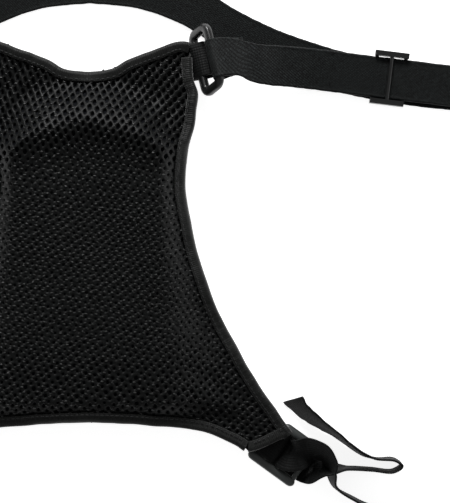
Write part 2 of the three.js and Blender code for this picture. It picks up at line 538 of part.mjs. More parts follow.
function inside() {
  const { z, top } = CASE, roof = z + top;
  add('circuit_board', slab(52, 62, 3, z + 17.5, z + 19.1, -5, 15), 'board');
  add('display', slab(50, 40, 2, z + 20.6, roof - 2.3, 0, 26), 'lcd');
  add('display_window', slab(43.3, 33.3, 3.6, roof - 1.9, roof - 0.2, 0, 26), 'glass');
  const f = z + 7.2;
  add('antenna_x_ferrite', rodX(3.6, -22, 22, 52.5, f), 'ferrite');
  add('antenna_x_coil', cut(rodX(5, -12, 12, 52.5, f), rodX(3.9, -14, 14, 52.5, f)), 'copper');
  add('antenna_y_ferrite', rodY(3.6, -8, 42, 29.5, f), 'ferrite');
  add('antenna_y_coil', cut(rodY(5, 6, 30, 29.5, f), rodY(3.9, 4, 32, 29.5, f)), 'copper');
  add('antenna_z_ferrite', rod(3.6, z + 2.4, z + 22, 30.4, -24), 'ferrite');
  add('antenna_z_coil', cut(rod(5, z + 5, z + 19, 30.4, -24), rod(3.9, z + 4, z + 20, 30.4, -24)), 'copper');
  add('loudspeaker', rod(10, roof - 6, roof - 2.3, 0, -38), 'case');
  const cz = z + 2.4 + CELL.r;
  [0, 1, 2].forEach((i) => {
    const y = -51.6 + i * CELL.pitch, s = i % 2 ? -1 : 1;
    const can = rodX(CELL.r, -CELL.l / 2, CELL.l / 2 - 1, y, cz);
    const nub = rodX(1.9, CELL.l / 2 - 1.5, CELL.l / 2, y, cz, 16);
    const g = join(can, nub);
    add(`cell_${i + 1}`, s < 0 ? flipX(g) : g, 'cell');
  });
  for (const s of [-1, 1]) {
    const x0 = s > 0 ? 22.6 : -23.4;
    const plate = box(x0, x0 + 0.8, -57, -24.2, z + 2.4, z + 12);
    add(s > 0 ? 'contact_plate_right' : 'contact_plate_left', plate, 'steel');
  }
  add('battery_door', cut(slab(52.4, 44.4, 3.7, z, z + 1.9, 0, -35.6), rod(5.3, z - 1, z + 4, 0, -19.6)), 'case');
  const latch = join(rod(5, z, z + 1.9, 0, -19.6), rod(2, z + 1.5, z + 3.9, 0, -19.6),
    box(-2.4, 2.4, -20, -9.4, z + 2.3, z + 3.9));
  add('door_latch', cut(latch, box(-0.7, 0.7, -23, -16.2, z - 1, z + 0.9)), 'case');
}
function controls() {
  const roof = CASE.z + CASE.top;
  for (const s of [-1, 1]) {
    const g = join(rod(5, roof - 3, roof + 0.9, 16 * s, -6), rod(6.4, roof - 4.4, roof - 2.3, 16 * s, -6));
    add(s > 0 ? 'button_right' : 'button_left', g, 'knob');
  }
  const stem = slab(9, 6.4, 1.6, roof - 3, roof + 1, 0, 52);
  const foot = slab(14, 10, 2, roof - 4, roof - 2.3, 0, 52);
  const ribs = [-2, 0, 2].map((k) => box(k - 0.4, k + 0.4, 49.6, 54.4, roof + 0.8, roof + 1.5));
  add('mode_switch', join(stem, foot, ...ribs), 'knob');
}

panel();
pouch();
zip();
hardware();
shoulder();
waist();
cases();
inside();
controls();

export default group;
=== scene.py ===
"""Harness that carries an avalanche transceiver: cloth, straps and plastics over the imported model.

Sizes are in millimetres in the tables and metres in the meshes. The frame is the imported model's.
"""
import json
import bpy
import numpy as np
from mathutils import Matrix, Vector

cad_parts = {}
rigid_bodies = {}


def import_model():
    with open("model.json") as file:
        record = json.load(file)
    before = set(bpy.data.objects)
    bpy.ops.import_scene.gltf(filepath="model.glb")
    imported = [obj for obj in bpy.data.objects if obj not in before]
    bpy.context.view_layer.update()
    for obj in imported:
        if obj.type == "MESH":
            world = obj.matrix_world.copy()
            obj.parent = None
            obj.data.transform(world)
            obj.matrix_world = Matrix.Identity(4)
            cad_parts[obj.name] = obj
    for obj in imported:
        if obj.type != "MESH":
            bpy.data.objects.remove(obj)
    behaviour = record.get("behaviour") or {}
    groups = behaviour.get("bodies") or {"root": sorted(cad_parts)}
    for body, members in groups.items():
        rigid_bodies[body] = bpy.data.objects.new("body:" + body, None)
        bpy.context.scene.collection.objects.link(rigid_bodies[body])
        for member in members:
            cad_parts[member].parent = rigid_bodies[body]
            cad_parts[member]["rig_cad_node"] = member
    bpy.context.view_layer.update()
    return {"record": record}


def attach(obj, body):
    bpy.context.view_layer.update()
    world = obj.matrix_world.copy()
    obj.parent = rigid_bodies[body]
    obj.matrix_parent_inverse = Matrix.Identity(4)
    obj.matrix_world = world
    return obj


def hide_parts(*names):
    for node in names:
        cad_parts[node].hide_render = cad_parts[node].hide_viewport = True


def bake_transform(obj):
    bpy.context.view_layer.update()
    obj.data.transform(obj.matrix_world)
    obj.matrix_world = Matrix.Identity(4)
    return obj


bl_info = {
    "name": "Transceiver harness",
    "version": (1, 0, 0),
    "blender": (4, 5, 0),
    "location": "3D View > Sidebar > Harness",
    "description": "Builds the cloth, straps, plastics and stage of a transceiver harness",
    "category": "Object",
}

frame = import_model()
MM = 0.001


def linear(code):
    """An sRGB hex colour turned linear."""
    c = np.array([int(code[i:i + 2], 16) for i in (1, 3, 5)]) / 255
    return [*np.where(c <= 0.04045, c / 12.92, ((c + 0.055) / 1.055) ** 2.4), 1.0]


# ---- settings ----
class HarnessClothSettings(bpy.types.PropertyGroup):
    """Sizes and colours of the cloth parts."""
    hole_pitch: bpy.props.FloatProperty(name="Hole pitch", description="Spacing of the mesh's holes across",
                                        default=0.0050, unit="LENGTH")
    row_pitch: bpy.props.FloatProperty(name="Row pitch", description="Spacing of the rows of holes",
                                       default=0.0029, unit="LENGTH")
    mesh_color: bpy.props.FloatVectorProperty(name="Mesh", description="Yarn of the spacer mesh",
                                              subtype="COLOR", default=linear("#070808")[:3])
    tape_color: bpy.props.FloatVectorProperty(name="Tape", description="Binding tape", subtype="COLOR",
                                              default=linear("#0f100f")[:3])
    tape_width: bpy.props.FloatProperty(name="Tape width", description="Width of binding seen on the face",
                                        default=0.0066, unit="LENGTH")


class HarnessStrapSettings(bpy.types.PropertyGroup):
    """Sizes and colours of the straps."""
    elastic: bpy.props.FloatProperty(name="Elastic", description="Width of the shoulder elastic",
                                     default=0.025, unit="LENGTH")
    webbing: bpy.props.FloatProperty(name="Webbing", description="Width of the waist webbing",
                                     default=0.020, unit="LENGTH")
    elastic_color: bpy.props.FloatVectorProperty(name="Elastic colour", description="Twill elastic yarn",
                                                 subtype="COLOR", default=linear("#0c0e0e")[:3])
    webbing_color: bpy.props.FloatVectorProperty(name="Webbing colour", description="Flat webbing yarn",
                                                 subtype="COLOR", default=linear("#0c0d0d")[:3])


class HarnessPlasticSettings(bpy.types.PropertyGroup):
    """Colours of the moulded parts."""
    buckle_color: bpy.props.FloatVectorProperty(name="Buckles", description="Moulded acetal", subtype="COLOR",
                                                default=linear("#151616")[:3])
    roughness: bpy.props.FloatProperty(name="Roughness", description="Gloss of the moulded parts",
                                       default=0.33, subtype="FACTOR")


# ---- numbers and curves ----
def smooth(t):
    """The cubic step 3tt - 2ttt, with t held between 0 and 1."""
    t = np.clip(t, 0, 1)
    return t * t * (3 - 2 * t)


def table(rows, t):
    """Piecewise smooth steps through (place, value) rows."""
    t = np.asarray(t, float)
    out = np.full(t.shape, float(rows[0][1]))
    for (a, va), (b, vb) in zip(rows, rows[1:]):
        out = np.where(t > a, va + (vb - va) * smooth((t - a) / (b - a)), out)
    return out


def catmull(points, t):
    """Centripetal Catmull-Rom through points, at t from 0 to 1 with equal steps from point to point."""
    p = np.asarray(points, float)
    n = len(p) - 1
    full = np.vstack([2 * p[0] - p[1], p, 2 * p[-1] - p[-2]])
    f = np.clip(np.asarray(t) * n, 0, n - 1e-9)
    k = f.astype(int)
    w = (f - k)[:, None]
    a, b, c, d = full[k], full[k + 1], full[k + 2], full[k + 3]
    d0, d1, d2 = (np.maximum(np.linalg.norm(v - u, axis=1), 1e-6)[:, None] ** 0.5
                  for u, v in ((a, b), (b, c), (c, d)))
    m1 = ((b - a) / d0 - (c - a) / (d0 + d1) + (c - b) / d1) * d1
    m2 = ((c - b) / d1 - (d - b) / (d1 + d2) + (d - c) / d2) * d1
    w2, w3 = w * w, w * w * w
    return (2 * w3 - 3 * w2 + 1) * b + (w3 - 2 * w2 + w) * m1 + (3 * w2 - 2 * w3) * c + (w3 - w2) * m2


class Curve:
    """A smooth line through points, read by its length from 0 to 1."""

    def __init__(self, points):
        t = np.linspace(0, 1, 60 * len(points))
        self.p = catmull(points, t)
        s = np.r_[0, np.cumsum(np.linalg.norm(np.diff(self.p, axis=0), axis=1))]
        self.length, self.s, self.t = s[-1], s / s[-1], t

    def at(self, s):
        """Points at fractions of the length."""
        return np.stack([np.interp(s, self.s, self.p[:, i]) for i in range(self.p.shape[1])], -1)

    def along(self, s):
        """Unit directions at fractions of the length."""
        step = 2e-3
        d = self.at(np.clip(s + step, 0, 1)) - self.at(np.clip(s - step, 0, 1))
        return d / np.linalg.norm(d, axis=-1, keepdims=True)


def unit(v):
    """Vectors brought to length 1."""
    return v / np.maximum(np.linalg.norm(v, axis=-1, keepdims=True), 1e-12)


def noise(x, y, scale, seed, octaves=3):
    """Smooth noise about 0 made of turned sine waves, the same at every run."""
    rng = np.random.default_rng(seed)
    out = np.zeros(np.broadcast(x, y).shape)
    for k in range(octaves):
        for _ in range(4):
            a, ph = rng.uniform(0, 2 * np.pi, 2)
            f = 2 * np.pi * 2 ** k / scale * rng.uniform(0.7, 1.3)
            out += np.sin(f * (x * np.cos(a) + y * np.sin(a)) + ph) / 2 ** k / 4
    return out


# ---- shape of the back panel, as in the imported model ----
TOP = [[0, 121.8], [14.5, 123.6], [24, 129], [34, 133], [43.6, 136.4], [53, 140], [59, 140.6], [63.5, 139.6]]
SIDE = [[63.5, 139.6], [64, 128], [65, 117], [67.6, 109], [67.6, 104], [66.6, 98], [65.4, 88], [61.8, 74],
        [60.4, 62], [60, 50], [61.6, 39], [64.2, 25.5], [67.3, 11], [72, -3.6], [77, -18], [83.6, -32.7],
        [91.5, -47], [99.6, -62], [108.6, -76], [115.6, -86], [121.4, -94.6], [126.4, -101]]
LOW = [[0, -93.4], [14.5, -93.8], [29, -94.5], [43.6, -95.8], [58, -97], [72.7, -100], [82.4, -104],
       [91, -108.4], [98.4, -112.2], [126.4, -101]]
SPINE = [[-94, 28], [-79, 37], [-40, 36.8], [66, 36.6], [88, 39.6], [124, 20], [142, 18]]
RIM = [[-113, 16], [-90, 15.5], [-45, 16], [0, 21], [60, 23], [100, 20], [140, 18]]
REACH = [[-95, 30], [-80, 43.5], [72, 43], [90, 26], [120, 4]]
WIDTH = [[-100, 112], [-60, 98], [-20, 78], [20, 66], [55, 60], [90, 65], [140, 70]]


def mirrored(rows):
    """Rows of the right half after their own mirror image."""
    return [[-x, y] for x, y in rows[:0:-1]] + rows


TOP_C, LOW_C = Curve(mirrored(TOP)), Curve(mirrored(LOW))
RIGHT_C, LEFT_C = Curve(SIDE[::-1]), Curve([[-x, y] for x, y in SIDE[::-1]])


def lift(x, y):
    """Height of the panel's middle sheet: the spine's near the middle line, the rim's further out, and a
    smooth step from one to the other between the reach and the width."""
    a, r0 = np.abs(x), table(REACH, y)
    k = smooth((a - r0) / (table(WIDTH, y) - r0))
    ridge = y + 0.26 * a * smooth((y - 30) / 40)
    return table(SPINE, ridge) * (1 - k) + table(RIM, y) * k


def wrinkle(x, y):
    """Soft folds of the mesh that run from the upper corners down to the middle."""
    s, t = x * 0.64 + y * 0.77, x * 0.77 - y * 0.64
    fan = np.exp(-((np.abs(x) - 48) / 24) ** 2 - ((y - 104) / 30) ** 2)
    fold = 0.9 * fan * np.sin(2 * np.pi * t / 13 + 0.03 * s)
    low = np.exp(-((np.abs(x) - 84) / 26) ** 2 - ((y + 78) / 24) ** 2)
    fold += 0.7 * low * np.sin(2 * np.pi * (x * 0.5 + y * 0.86) / 15 + 1)
    return fold + 0.55 * noise(x, y, 60, 3, 2)


def face_height(x, y):
    """Height of the middle sheet with the part of the folds that shows on the face."""
    return lift(x, y) + wrinkle(x, y) * 0.6


# ---- meshes ----
def grid_faces(rows, cols, wrap=False):
    """Quads over a grid of points, closed round the columns if wrap."""
    i, j = np.meshgrid(np.arange(rows - 1), np.arange(cols if wrap else cols - 1), indexing="ij")
    j2 = (j + 1) % cols
    a, b = i * cols, (i + 1) * cols
    return np.stack([a + j, a + j2, b + j2, b + j], -1).reshape(-1, 4)


def tube(sections):
    """Points and quads of a closed tube from an array of section loops, its ends closed to their middles."""
    n, m, _ = sections.shape
    pts = sections.reshape(-1, 3)
    quads = grid_faces(n, m, True)
    mid = np.array([sections[0].mean(0), sections[-1].mean(0)])
    k = np.arange(m)
    a, b = n * m, n * m + 1
    tri = [np.stack([np.full(m, a), (k + 1) % m, k], -1),
           np.stack([np.full(m, b), (n - 1) * m + k, (n - 1) * m + (k + 1) % m], -1)]
    return np.vstack([pts, mid]), [quads, *tri]


class Heap:
    """Points and faces of one piece, gathered as arrays."""

    def __init__(self):
        self.pts, self.faces, self.count = [], [], 0

    def add(self, pts, faces):
        self.pts.append(np.asarray(pts, float))
        faces = faces if isinstance(faces, list) else [faces]
        self.faces += [np.asarray(f, int) + self.count for f in faces]
        self.count += len(pts)
        return self

    def make(self, name, material, body="harness", sharp=False, attributes=None):
        co = np.vstack(self.pts) * MM
        sizes = np.concatenate([np.full(len(f), f.shape[1]) for f in self.faces])
        loops = np.concatenate([f.ravel() for f in self.faces])
        mesh = bpy.data.meshes.new(name)
        mesh.vertices.add(len(co))
        mesh.vertices.foreach_set("co", co.astype(np.float32).ravel())
        mesh.loops.add(len(loops))
        mesh.loops.foreach_set("vertex_index", loops.astype(np.int32))
        mesh.polygons.add(len(sizes))
        mesh.polygons.foreach_set("loop_start", np.r_[0, np.cumsum(sizes)[:-1]].astype(np.int32))
        mesh.update(calc_edges=True)
        mesh.validate()
        mesh.polygons.foreach_set("use_smooth", np.full(len(mesh.polygons), not sharp))
        for key, values in (attributes or {}).items():
            layer = mesh.attributes.new(key, "FLOAT_VECTOR", "POINT")
            layer.data.foreach_set("vector", np.asarray(values, np.float32).ravel())
        mesh.materials.append(material)
        obj = bpy.data.objects.new(name, mesh)
        bpy.context.scene.collection.objects.link(obj)
        if body:
            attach(obj, body)
        return obj


def capsules(places, along, up, length, width, height, n=8):
    """Small stitches: each a rounded bar of three loops, set along its own direction. Points and faces."""
    side = np.cross(up, along)
    u = np.array([-0.5, -0.4, -0.18, 0.18, 0.4, 0.5]) * length
    r = np.array([0.12, 0.7, 1, 1, 0.7, 0.12])
    th = np.arange(n) * 2 * np.pi / n
    ring = (along[:, None, None] * u[None, :, None, None]
            + side[:, None, None] * (width / 2 * r[:, None] * np.cos(th))[None, :, :, None]
            + up[:, None, None] * (height / 2 * r[:, None] * np.sin(th))[None, :, :, None])
    pts = places[:, None, None] + ring
    m = len(u) * n
    quads = grid_faces(len(u), n, True)
    caps = np.stack([np.arange(n)[::-1], np.arange(n) + (len(u) - 1) * n])
    base = np.arange(len(places)) * m
    base = base[:, None, None]
    return pts.reshape(-1, 3), [(base + quads).reshape(-1, 4), (base + caps).reshape(-1, n)]


# ---- materials ----
DIAGONAL_BAND = 0.444       # metres between the wave texture's diagonal bands, at scale 1


def node(tree, kind, links=None, **settings):
    """Adds one shader node, with settings on it or its sockets, and its incoming links."""
    n = tree.nodes.new(kind)
    for key, value in settings.items():
        if hasattr(n, key):
            setattr(n, key, value)
        else:
            n.inputs[key.replace("_", " ")].default_value = value
    for key, source in (links or {}).items():
        tree.links.new(source, n.inputs[key])
    return n


def finish(name, color, rough, spec, sheen, bump, vary, fleck, fleck_size, twill_pitch):
    """A material: base colour that varies a little from place to place, roughness, sheen and layered bump.

    bump is a list of (kind, size, height), where kind is weave or grain. fleck is how far single yarns differ
    in tone and fleck_size how wide they are, and twill_pitch spaces slanting light and dark rows. Sizes,
    heights and pitches are in millimetres."""
    mat = bpy.data.materials.new(name)
    mat.use_nodes = True
    tree = mat.node_tree
    tree.nodes.clear()
    where = node(tree, "ShaderNodeTexCoord").outputs["Object"]
    patch = node(tree, "ShaderNodeTexNoise", {"Vector": where}, Scale=60.0, Detail=3.0)
    mix = node(tree, "ShaderNodeMapRange", {"Value": patch.outputs["Fac"]})
    mix.inputs["To Min"].default_value = 1 - vary
    mix.inputs["To Max"].default_value = 1 + vary
    tint = node(tree, "ShaderNodeVectorMath", operation="SCALE")
    tint.inputs[0].default_value = color[:3]
    tree.links.new(mix.outputs["Result"], tint.inputs["Scale"])
    fine = node(tree, "ShaderNodeTexNoise", {"Vector": where}, Scale=1 / (fleck_size * MM), Detail=1.0)
    fleck_to = node(tree, "ShaderNodeMapRange", {"Value": fine.outputs["Fac"]})
    spread = (("From Min", 0.3), ("From Max", 0.7), ("To Min", 1 - fleck), ("To Max", 1 + 1.6 * fleck))
    for socket, value in spread:
        fleck_to.inputs[socket].default_value = value
    flecked = node(tree, "ShaderNodeVectorMath", {"Vector": tint.outputs["Vector"]}, operation="SCALE")
    tree.links.new(fleck_to.outputs["Result"], flecked.inputs["Scale"])
    if twill_pitch:
        rows = node(tree, "ShaderNodeTexWave", {"Vector": where}, bands_direction="DIAGONAL",
                    Scale=DIAGONAL_BAND / (twill_pitch * MM))
        deep = node(tree, "ShaderNodeMapRange", {"Value": rows.outputs["Fac"]})
        deep.inputs["To Min"].default_value, deep.inputs["To Max"].default_value = 0.2, 2.2
        tint = flecked
        flecked = node(tree, "ShaderNodeVectorMath", {"Vector": tint.outputs["Vector"]}, operation="SCALE")
        tree.links.new(deep.outputs["Result"], flecked.inputs["Scale"])
    shader = node(tree, "ShaderNodeBsdfPrincipled", {"Base Color": flecked.outputs["Vector"]})
    shader.inputs["Roughness"].default_value = rough
    shader.inputs["Specular IOR Level"].default_value = spec
    shader.inputs["Sheen Weight"].default_value = sheen
    shader.inputs["Sheen Roughness"].default_value = 0.45
    last = None
    for kind, size, height in bump:
        if kind == "grain":
            tex = node(tree, "ShaderNodeTexNoise", {"Vector": where}, Scale=1 / (size * MM), Detail=4.0)
        else:
            tex = node(tree, "ShaderNodeTexWave", {"Vector": where}, Scale=DIAGONAL_BAND / (size * MM),
                       bands_direction="DIAGONAL")
        b = node(tree, "ShaderNodeBump", {"Height": tex.outputs["Fac"]}, Strength=0.6)
        b.inputs["Distance"].default_value = height * MM
        if last:
            tree.links.new(last, b.inputs["Normal"])
        last = b.outputs["Normal"]
    if last:
        tree.links.new(last, shader.inputs["Normal"])
    out = node(tree, "ShaderNodeOutputMaterial")
    tree.links.new(shader.outputs["BSDF"], out.inputs["Surface"])
    return mat


MATS = {}


def material(name):
    """The named finish, made at its first use."""
    if name in MATS:
        return MATS[name]
    cloth, strap, plastic = (getattr(bpy.context.scene, k) for k in
                             ("harness_cloth", "harness_straps", "harness_plastic"))
    # for each finish: colour, roughness, specular, sheen, bump rows and how much the tone varies
    finishes = {
        # knitted polyester yarn, dull with a faint sheen
        "polyester_spacer_mesh": (list(cloth.mesh_color), 0.44, 0.16, 0.02, [("grain", 0.385, 0.12)], 0.25),
        # bright filament of the knit's standing loops
        "filament_loops": (list(cloth.mesh_color), 0.3, 0.6, 0.05, [], 0.3),
        # brushed foam-side knit seen down the holes
        "inner_knit": (linear("#141518"), 0.95, 0.04, 0.0, [("grain", 0.556, 0.2)], 0.3),
        # ribbed binding tape of filament polyester
        "grosgrain_tape": (list(cloth.tape_color), 0.5, 0.2, 0.22, [("grain", 0.667, 0.08)], 0.15),
        # coated plain-weave pack cloth
        "pack_cloth": (linear("#121316"), 0.6, 0.3, 0.1, [("weave", 0.493, 0.08), ("grain", 3.333, 0.2)],
                       0.2),
        # twill elastic
        "twill_elastic": (list(strap.elastic_color), 0.6, 0.14, 0.03, [("grain", 0.5, 0.1)], 0.2),
        # flat polypropylene webbing
        "flat_webbing": (list(strap.webbing_color), 0.55, 0.14, 0.03, [("grain", 0.588, 0.08)], 0.18),
        # moulded acetal with a fine spark-eroded grain
        "moulded_acetal": (list(plastic.buckle_color), plastic.roughness, 0.5, 0.0,
                           [("grain", 0.714, 0.03)], 0.1),
        # the same acetal, its colour made paler as a painted highlight for the gloss of the lock's arms
        "acetal_painted_highlight": (linear("#3d403f"), 0.36, 0.5, 0.0, [("grain", 0.714, 0.03)], 0.2),
        # bonded polyester sewing thread
        "sewing_thread": (linear("#1a1b1c"), 0.5, 0.4, 0.1, [], 0.2),
        # glass-filled nylon of the unit's case
        "moulded_case_grey": (linear("#2b2f33"), 0.5, 0.4, 0.0, [("grain", 0.667, 0.04)], 0.1),
        # the same nylon in signal orange
        "moulded_case_orange": (linear("#c8471c"), 0.45, 0.4, 0.0, [("grain", 0.667, 0.04)], 0.1),
        # soft silicone cord of the case seal
        "silicone_seal": (linear("#0e0e0f"), 0.8, 0.3, 0.0, [], 0.1),
        # lacquer over the circuit board
        "solder_mask": (linear("#1f5a3a"), 0.4, 0.5, 0.0, [], 0.1),
        # hard-coated clear acrylic
        "clear_window": (linear("#5b6a70"), 0.1, 0.5, 0.0, [], 0.02),
        # display glass with nothing switched on
        "liquid_crystal": (linear("#8a9484"), 0.3, 0.5, 0.0, [], 0.02),
        # sintered ferrite of the antenna rods
        "sintered_ferrite": (linear("#26282a"), 0.7, 0.3, 0.0, [("grain", 0.667, 0.05)], 0.1),
        # pale moulded buttons and switch
        "moulded_knob": (linear("#d8d9d6"), 0.5, 0.4, 0.0, [], 0.05),
        # enamelled winding wire
        "enamelled_copper": (linear("#b5713c"), 0.35, 0.6, 0.0, [], 0.1),
        # zinc-plated spring steel and screws
        "plated_steel": (linear("#b9bcc0"), 0.3, 0.6, 0.0, [], 0.05),
        # steel can of a battery cell
        "battery_can": (linear("#8f9296"), 0.35, 0.5, 0.0, [], 0.05),
    }
    color, rough, spec, sheen, bump, vary = finishes[name]
    fleck = {"polyester_spacer_mesh": 0.75, "grosgrain_tape": 0.9, "twill_elastic": 1.0, "flat_webbing": 0.7}
    fleck_size, twill_pitch = (1.053, 1.15) if name == "twill_elastic" else (0.769, 0.0)
    MATS[name] = finish(name, color, rough, spec, sheen, bump, vary, fleck.get(name, 0.0),
                        fleck_size, twill_pitch)
    if name in ("enamelled_copper", "plated_steel", "battery_can"):
        shader = next(n for n in MATS[name].node_tree.nodes if n.type == "BSDF_PRINCIPLED")
        shader.inputs["Metallic"].default_value = 0.9
    return MATS[name]


# ---- panel ----
UP, SEAT, SHEET = 2.4, 1.6, 0.9     # face above the middle sheet, cloth below it, and the cloth's thickness
KNIT_INSET = 2.2                    # from the panel's edge to where the knit starts
RIB_PITCH, STITCH_PITCH, STITCH_INSET = 1.2, 3.0, 1.35


def outline(steps=900):
    """The panel's edge as one closed loop of plan points."""
    s = np.linspace(0, 1, steps // 4, endpoint=False)
    return np.vstack([LOW_C.at(s), RIGHT_C.at(s), TOP_C.at(1 - s), LEFT_C.at(1 - s)])


def edge_distance(x, y, loop):
    """Signed distance to the loop, positive inside, for arrays of points."""
    a, b = loop, np.roll(loop, -1, 0)
    best = np.full(x.shape, 1e9)
    inside = np.zeros(x.shape, bool)
    for k in range(len(a)):
        ax, ay = a[k]
        dx, dy = b[k] - a[k]
        t = np.clip(((x - ax) * dx + (y - ay) * dy) / max(dx * dx + dy * dy, 1e-9), 0, 1)
        best = np.minimum(best, np.hypot(x - ax - t * dx, y - ay - t * dy))
        crosses = (ay > y) != (ay + dy > y)
        if abs(dy) > 1e-12:
            inside ^= crosses & (x < ax + (y - ay) / dy * dx)
    return np.where(inside, best, -best)


def knit(pitch, row):
    """The open face of the spacer mesh: centres of its holes and the twelve points of one cell's rim.

    Holes lie on a staggered lattice. Every hole's cell is a hexagon of twelve points shared with its
    neighbours; rings lead from it to the hole's lip and down its wall."""
    i, j = np.meshgrid(np.arange(-64, 64), np.arange(-110, 110), indexing="ij")
    cx, cy = (i + 0.5 * (j % 2)).ravel() * pitch, j.ravel() * row
    half, h = pitch / 2, row
    k0 = (half * half + h * h) / (2 * h)          # top corner of the hexagon
    k1 = h - k0
    if k1 < 0:
        raise ValueError("the row pitch is too small for the hole pitch")
    corner = np.array([[half, k1], [0, k0], [-half, k1], [-half, -k1], [0, -k0], [half, -k1]])
    return cx, cy, np.stack([corner, (corner + np.roll(corner, -1, 0)) / 2], 1).reshape(-1, 2)


def strained(x, y):
    """How far the knit is pulled into ridges, 0 to 1: most towards the upper corners."""
    a = np.abs(x)
    return smooth((y - 66) / 34) * smooth((a + 8) / 40) * (0.55 + 0.45 * smooth((a + y - 120) / 60))


def slackened(x, y):
    """How far the holes are closed up, 0 to 1: most over the flat of the pouch."""
    return smooth((84 - y - 0.26 * np.abs(x)) / 10) * (1 - 0.5 * smooth((-30 - y) / 45))


def to_plan(p, q):
    """From the cloth's own lattice to the plan: turned by the lie of the rows and stretched over the body."""
    turn = np.radians(-11)
    x = p * np.cos(turn) - q * np.sin(turn)
    y = p * np.sin(turn) + q * np.cos(turn)
    y2 = y + 0.085 * np.maximum(y - 40, 0) ** 1.25 + 0.02 * np.minimum(y + 30, 0)
    x2 = x * (1 - 0.0009 * np.clip(y - 30, 0, 100) + 0.0016 * np.clip(-30 - y, 0, 90))
    bend = 1.6 * noise(x, y, 120, 11, 2)
    return x2 + bend, y2 + 1.2 * noise(x, y, 140, 12, 2)


def build_face(pitch, row, loop, rng):
    """The knitted face. Each hole is five rings of twelve points, from its cell's rim over the lip and down
    the wall, and neighbours share the points of their rims. Returns the piece and its cells."""
    cx, cy, rim = knit(pitch, row)
    px, py = to_plan(cx, cy)
    near = (np.abs(px) < 125) & (py > -118) & (py < 146)
    cx, cy, px, py = cx[near], cy[near], px[near], py[near]
    keep = edge_distance(px, py, loop) > KNIT_INSET
    cx, cy, px, py = cx[keep], cy[keep], px[keep], py[keep]
    n, pull, slack = len(cx), strained(px, py)[:, None], slackened(px, py)[:, None]
    way = unit(np.array([pitch / 2, row]))        # the ridges' direction, mirrored on the left
    way = np.where(px[:, None] < 0, way * [-1, 1], way)
    ang = np.arctan2(rim[:, 1], rim[:, 0])
    size = pitch / 5.0 * (1 - 0.46 * slack) * (1 + rng.normal(0, 0.07 + 0.12 * slack, (n, 1)))
    lip = np.stack([1.22 * np.cos(ang) * size, 1.45 * np.sin(ang) * size], -1)
    fore = (lip * way[:, None]).sum(-1)
    lip = lip + way[:, None] * (fore * 0.22 * pull)[..., None] \
        - (lip - way[:, None] * fore[..., None]) * (0.34 * pull)[..., None]
    lip = lip + rng.normal(0, 0.10, (n, 1, 2)) * slack[..., None] * 2
    edge = np.broadcast_to(rim, (n, 12, 2))
    turn = (unit(rim)[None] * way[:, None]).sum(-1) ** 2
    ridge = pull * (0.45 - 1.1 * turn)
    loft = rng.normal(0, 0.05, (n, 1)) + 0.14 * slack * rng.normal(0, 1, (n, 12))
    levels = [(edge, 0.15 + ridge), (lip * 0.42 + edge * 0.58, 0.22 + ridge * 0.7 + loft),
              (lip * 1.04, loft - 0.25), (lip * 0.86, -1.0 + 0.45 * slack),
              (lip * 0.78, -2.6 + 1.6 * slack)]
    pts = []
    for flat, d in levels:
        x, y = to_plan(cx[:, None] + flat[..., 0], cy[:, None] + flat[..., 1])
        pts.append(np.stack([x, y, face_height(x, y) + UP - 0.45 + d], -1))
    pts = np.stack(pts, 1).reshape(-1, 3)
    quads = (np.arange(n)[:, None, None] * 60 + grid_faces(5, 12, True)[None]).reshape(-1, 4)
    # rim points with the same rounded place are one point; every other point stays its own
    local = np.tile(rim, (n, 1)) + np.stack([np.repeat(cx, 12), np.repeat(cy, 12)], -1)
    same = np.zeros((n, 5, 12, 3), np.int64)
    same[:, 0, :, :2] = np.round(local * 40).reshape(n, 12, 2)
    same[:, 1:, :, 0] = np.arange(n)[:, None, None]
    same[:, 1:, :, 1] = np.arange(12)
    same[:, 1:, :, 2] = np.arange(1, 5)[:, None]
    _, first, back = np.unique(same.reshape(-1, 3), axis=0, return_index=True, return_inverse=True)
    heap = Heap().add(pts[first], back.reshape(-1)[quads][:, ::-1])
    face = heap.make("spacer_mesh_face", material("polyester_spacer_mesh"))
    return face, (cx, cy, pull[:, 0], slack[:, 0])


def build_loops(face, cells, pitch, loop, rng):
    """Loops of yarn that stand up between the holes and catch the light."""
    cx, cy, pull, slack = cells
    some = rng.random(len(cx)) < 0.35 + 0.6 * slack + 0.3 * pull
    count = some.sum()
    x, y = to_plan(cx[some] + pitch / 2 + rng.normal(0, 0.35, count), cy[some] + rng.normal(0, 0.4, count))
    z = face_height(x, y) + UP - 0.1 + rng.uniform(-0.12, 0.2, len(x))
    yaw = np.radians(-8) + rng.normal(0, 0.35, len(x))
    along = np.stack([np.cos(yaw), np.sin(yaw), 0 * yaw], -1)
    good = edge_distance(x, y, loop) > 4.5
    up = np.tile([0, 0, 1.0], (len(x), 1))
    knots, quads = capsules(np.stack([x, y, z], -1)[good], along[good], up[good], 2.2, 0.85, 0.8, 6)
    loops = Heap().add(knots, quads).make("spacer_mesh_loops", material("filament_loops"))
    loops.parent = face


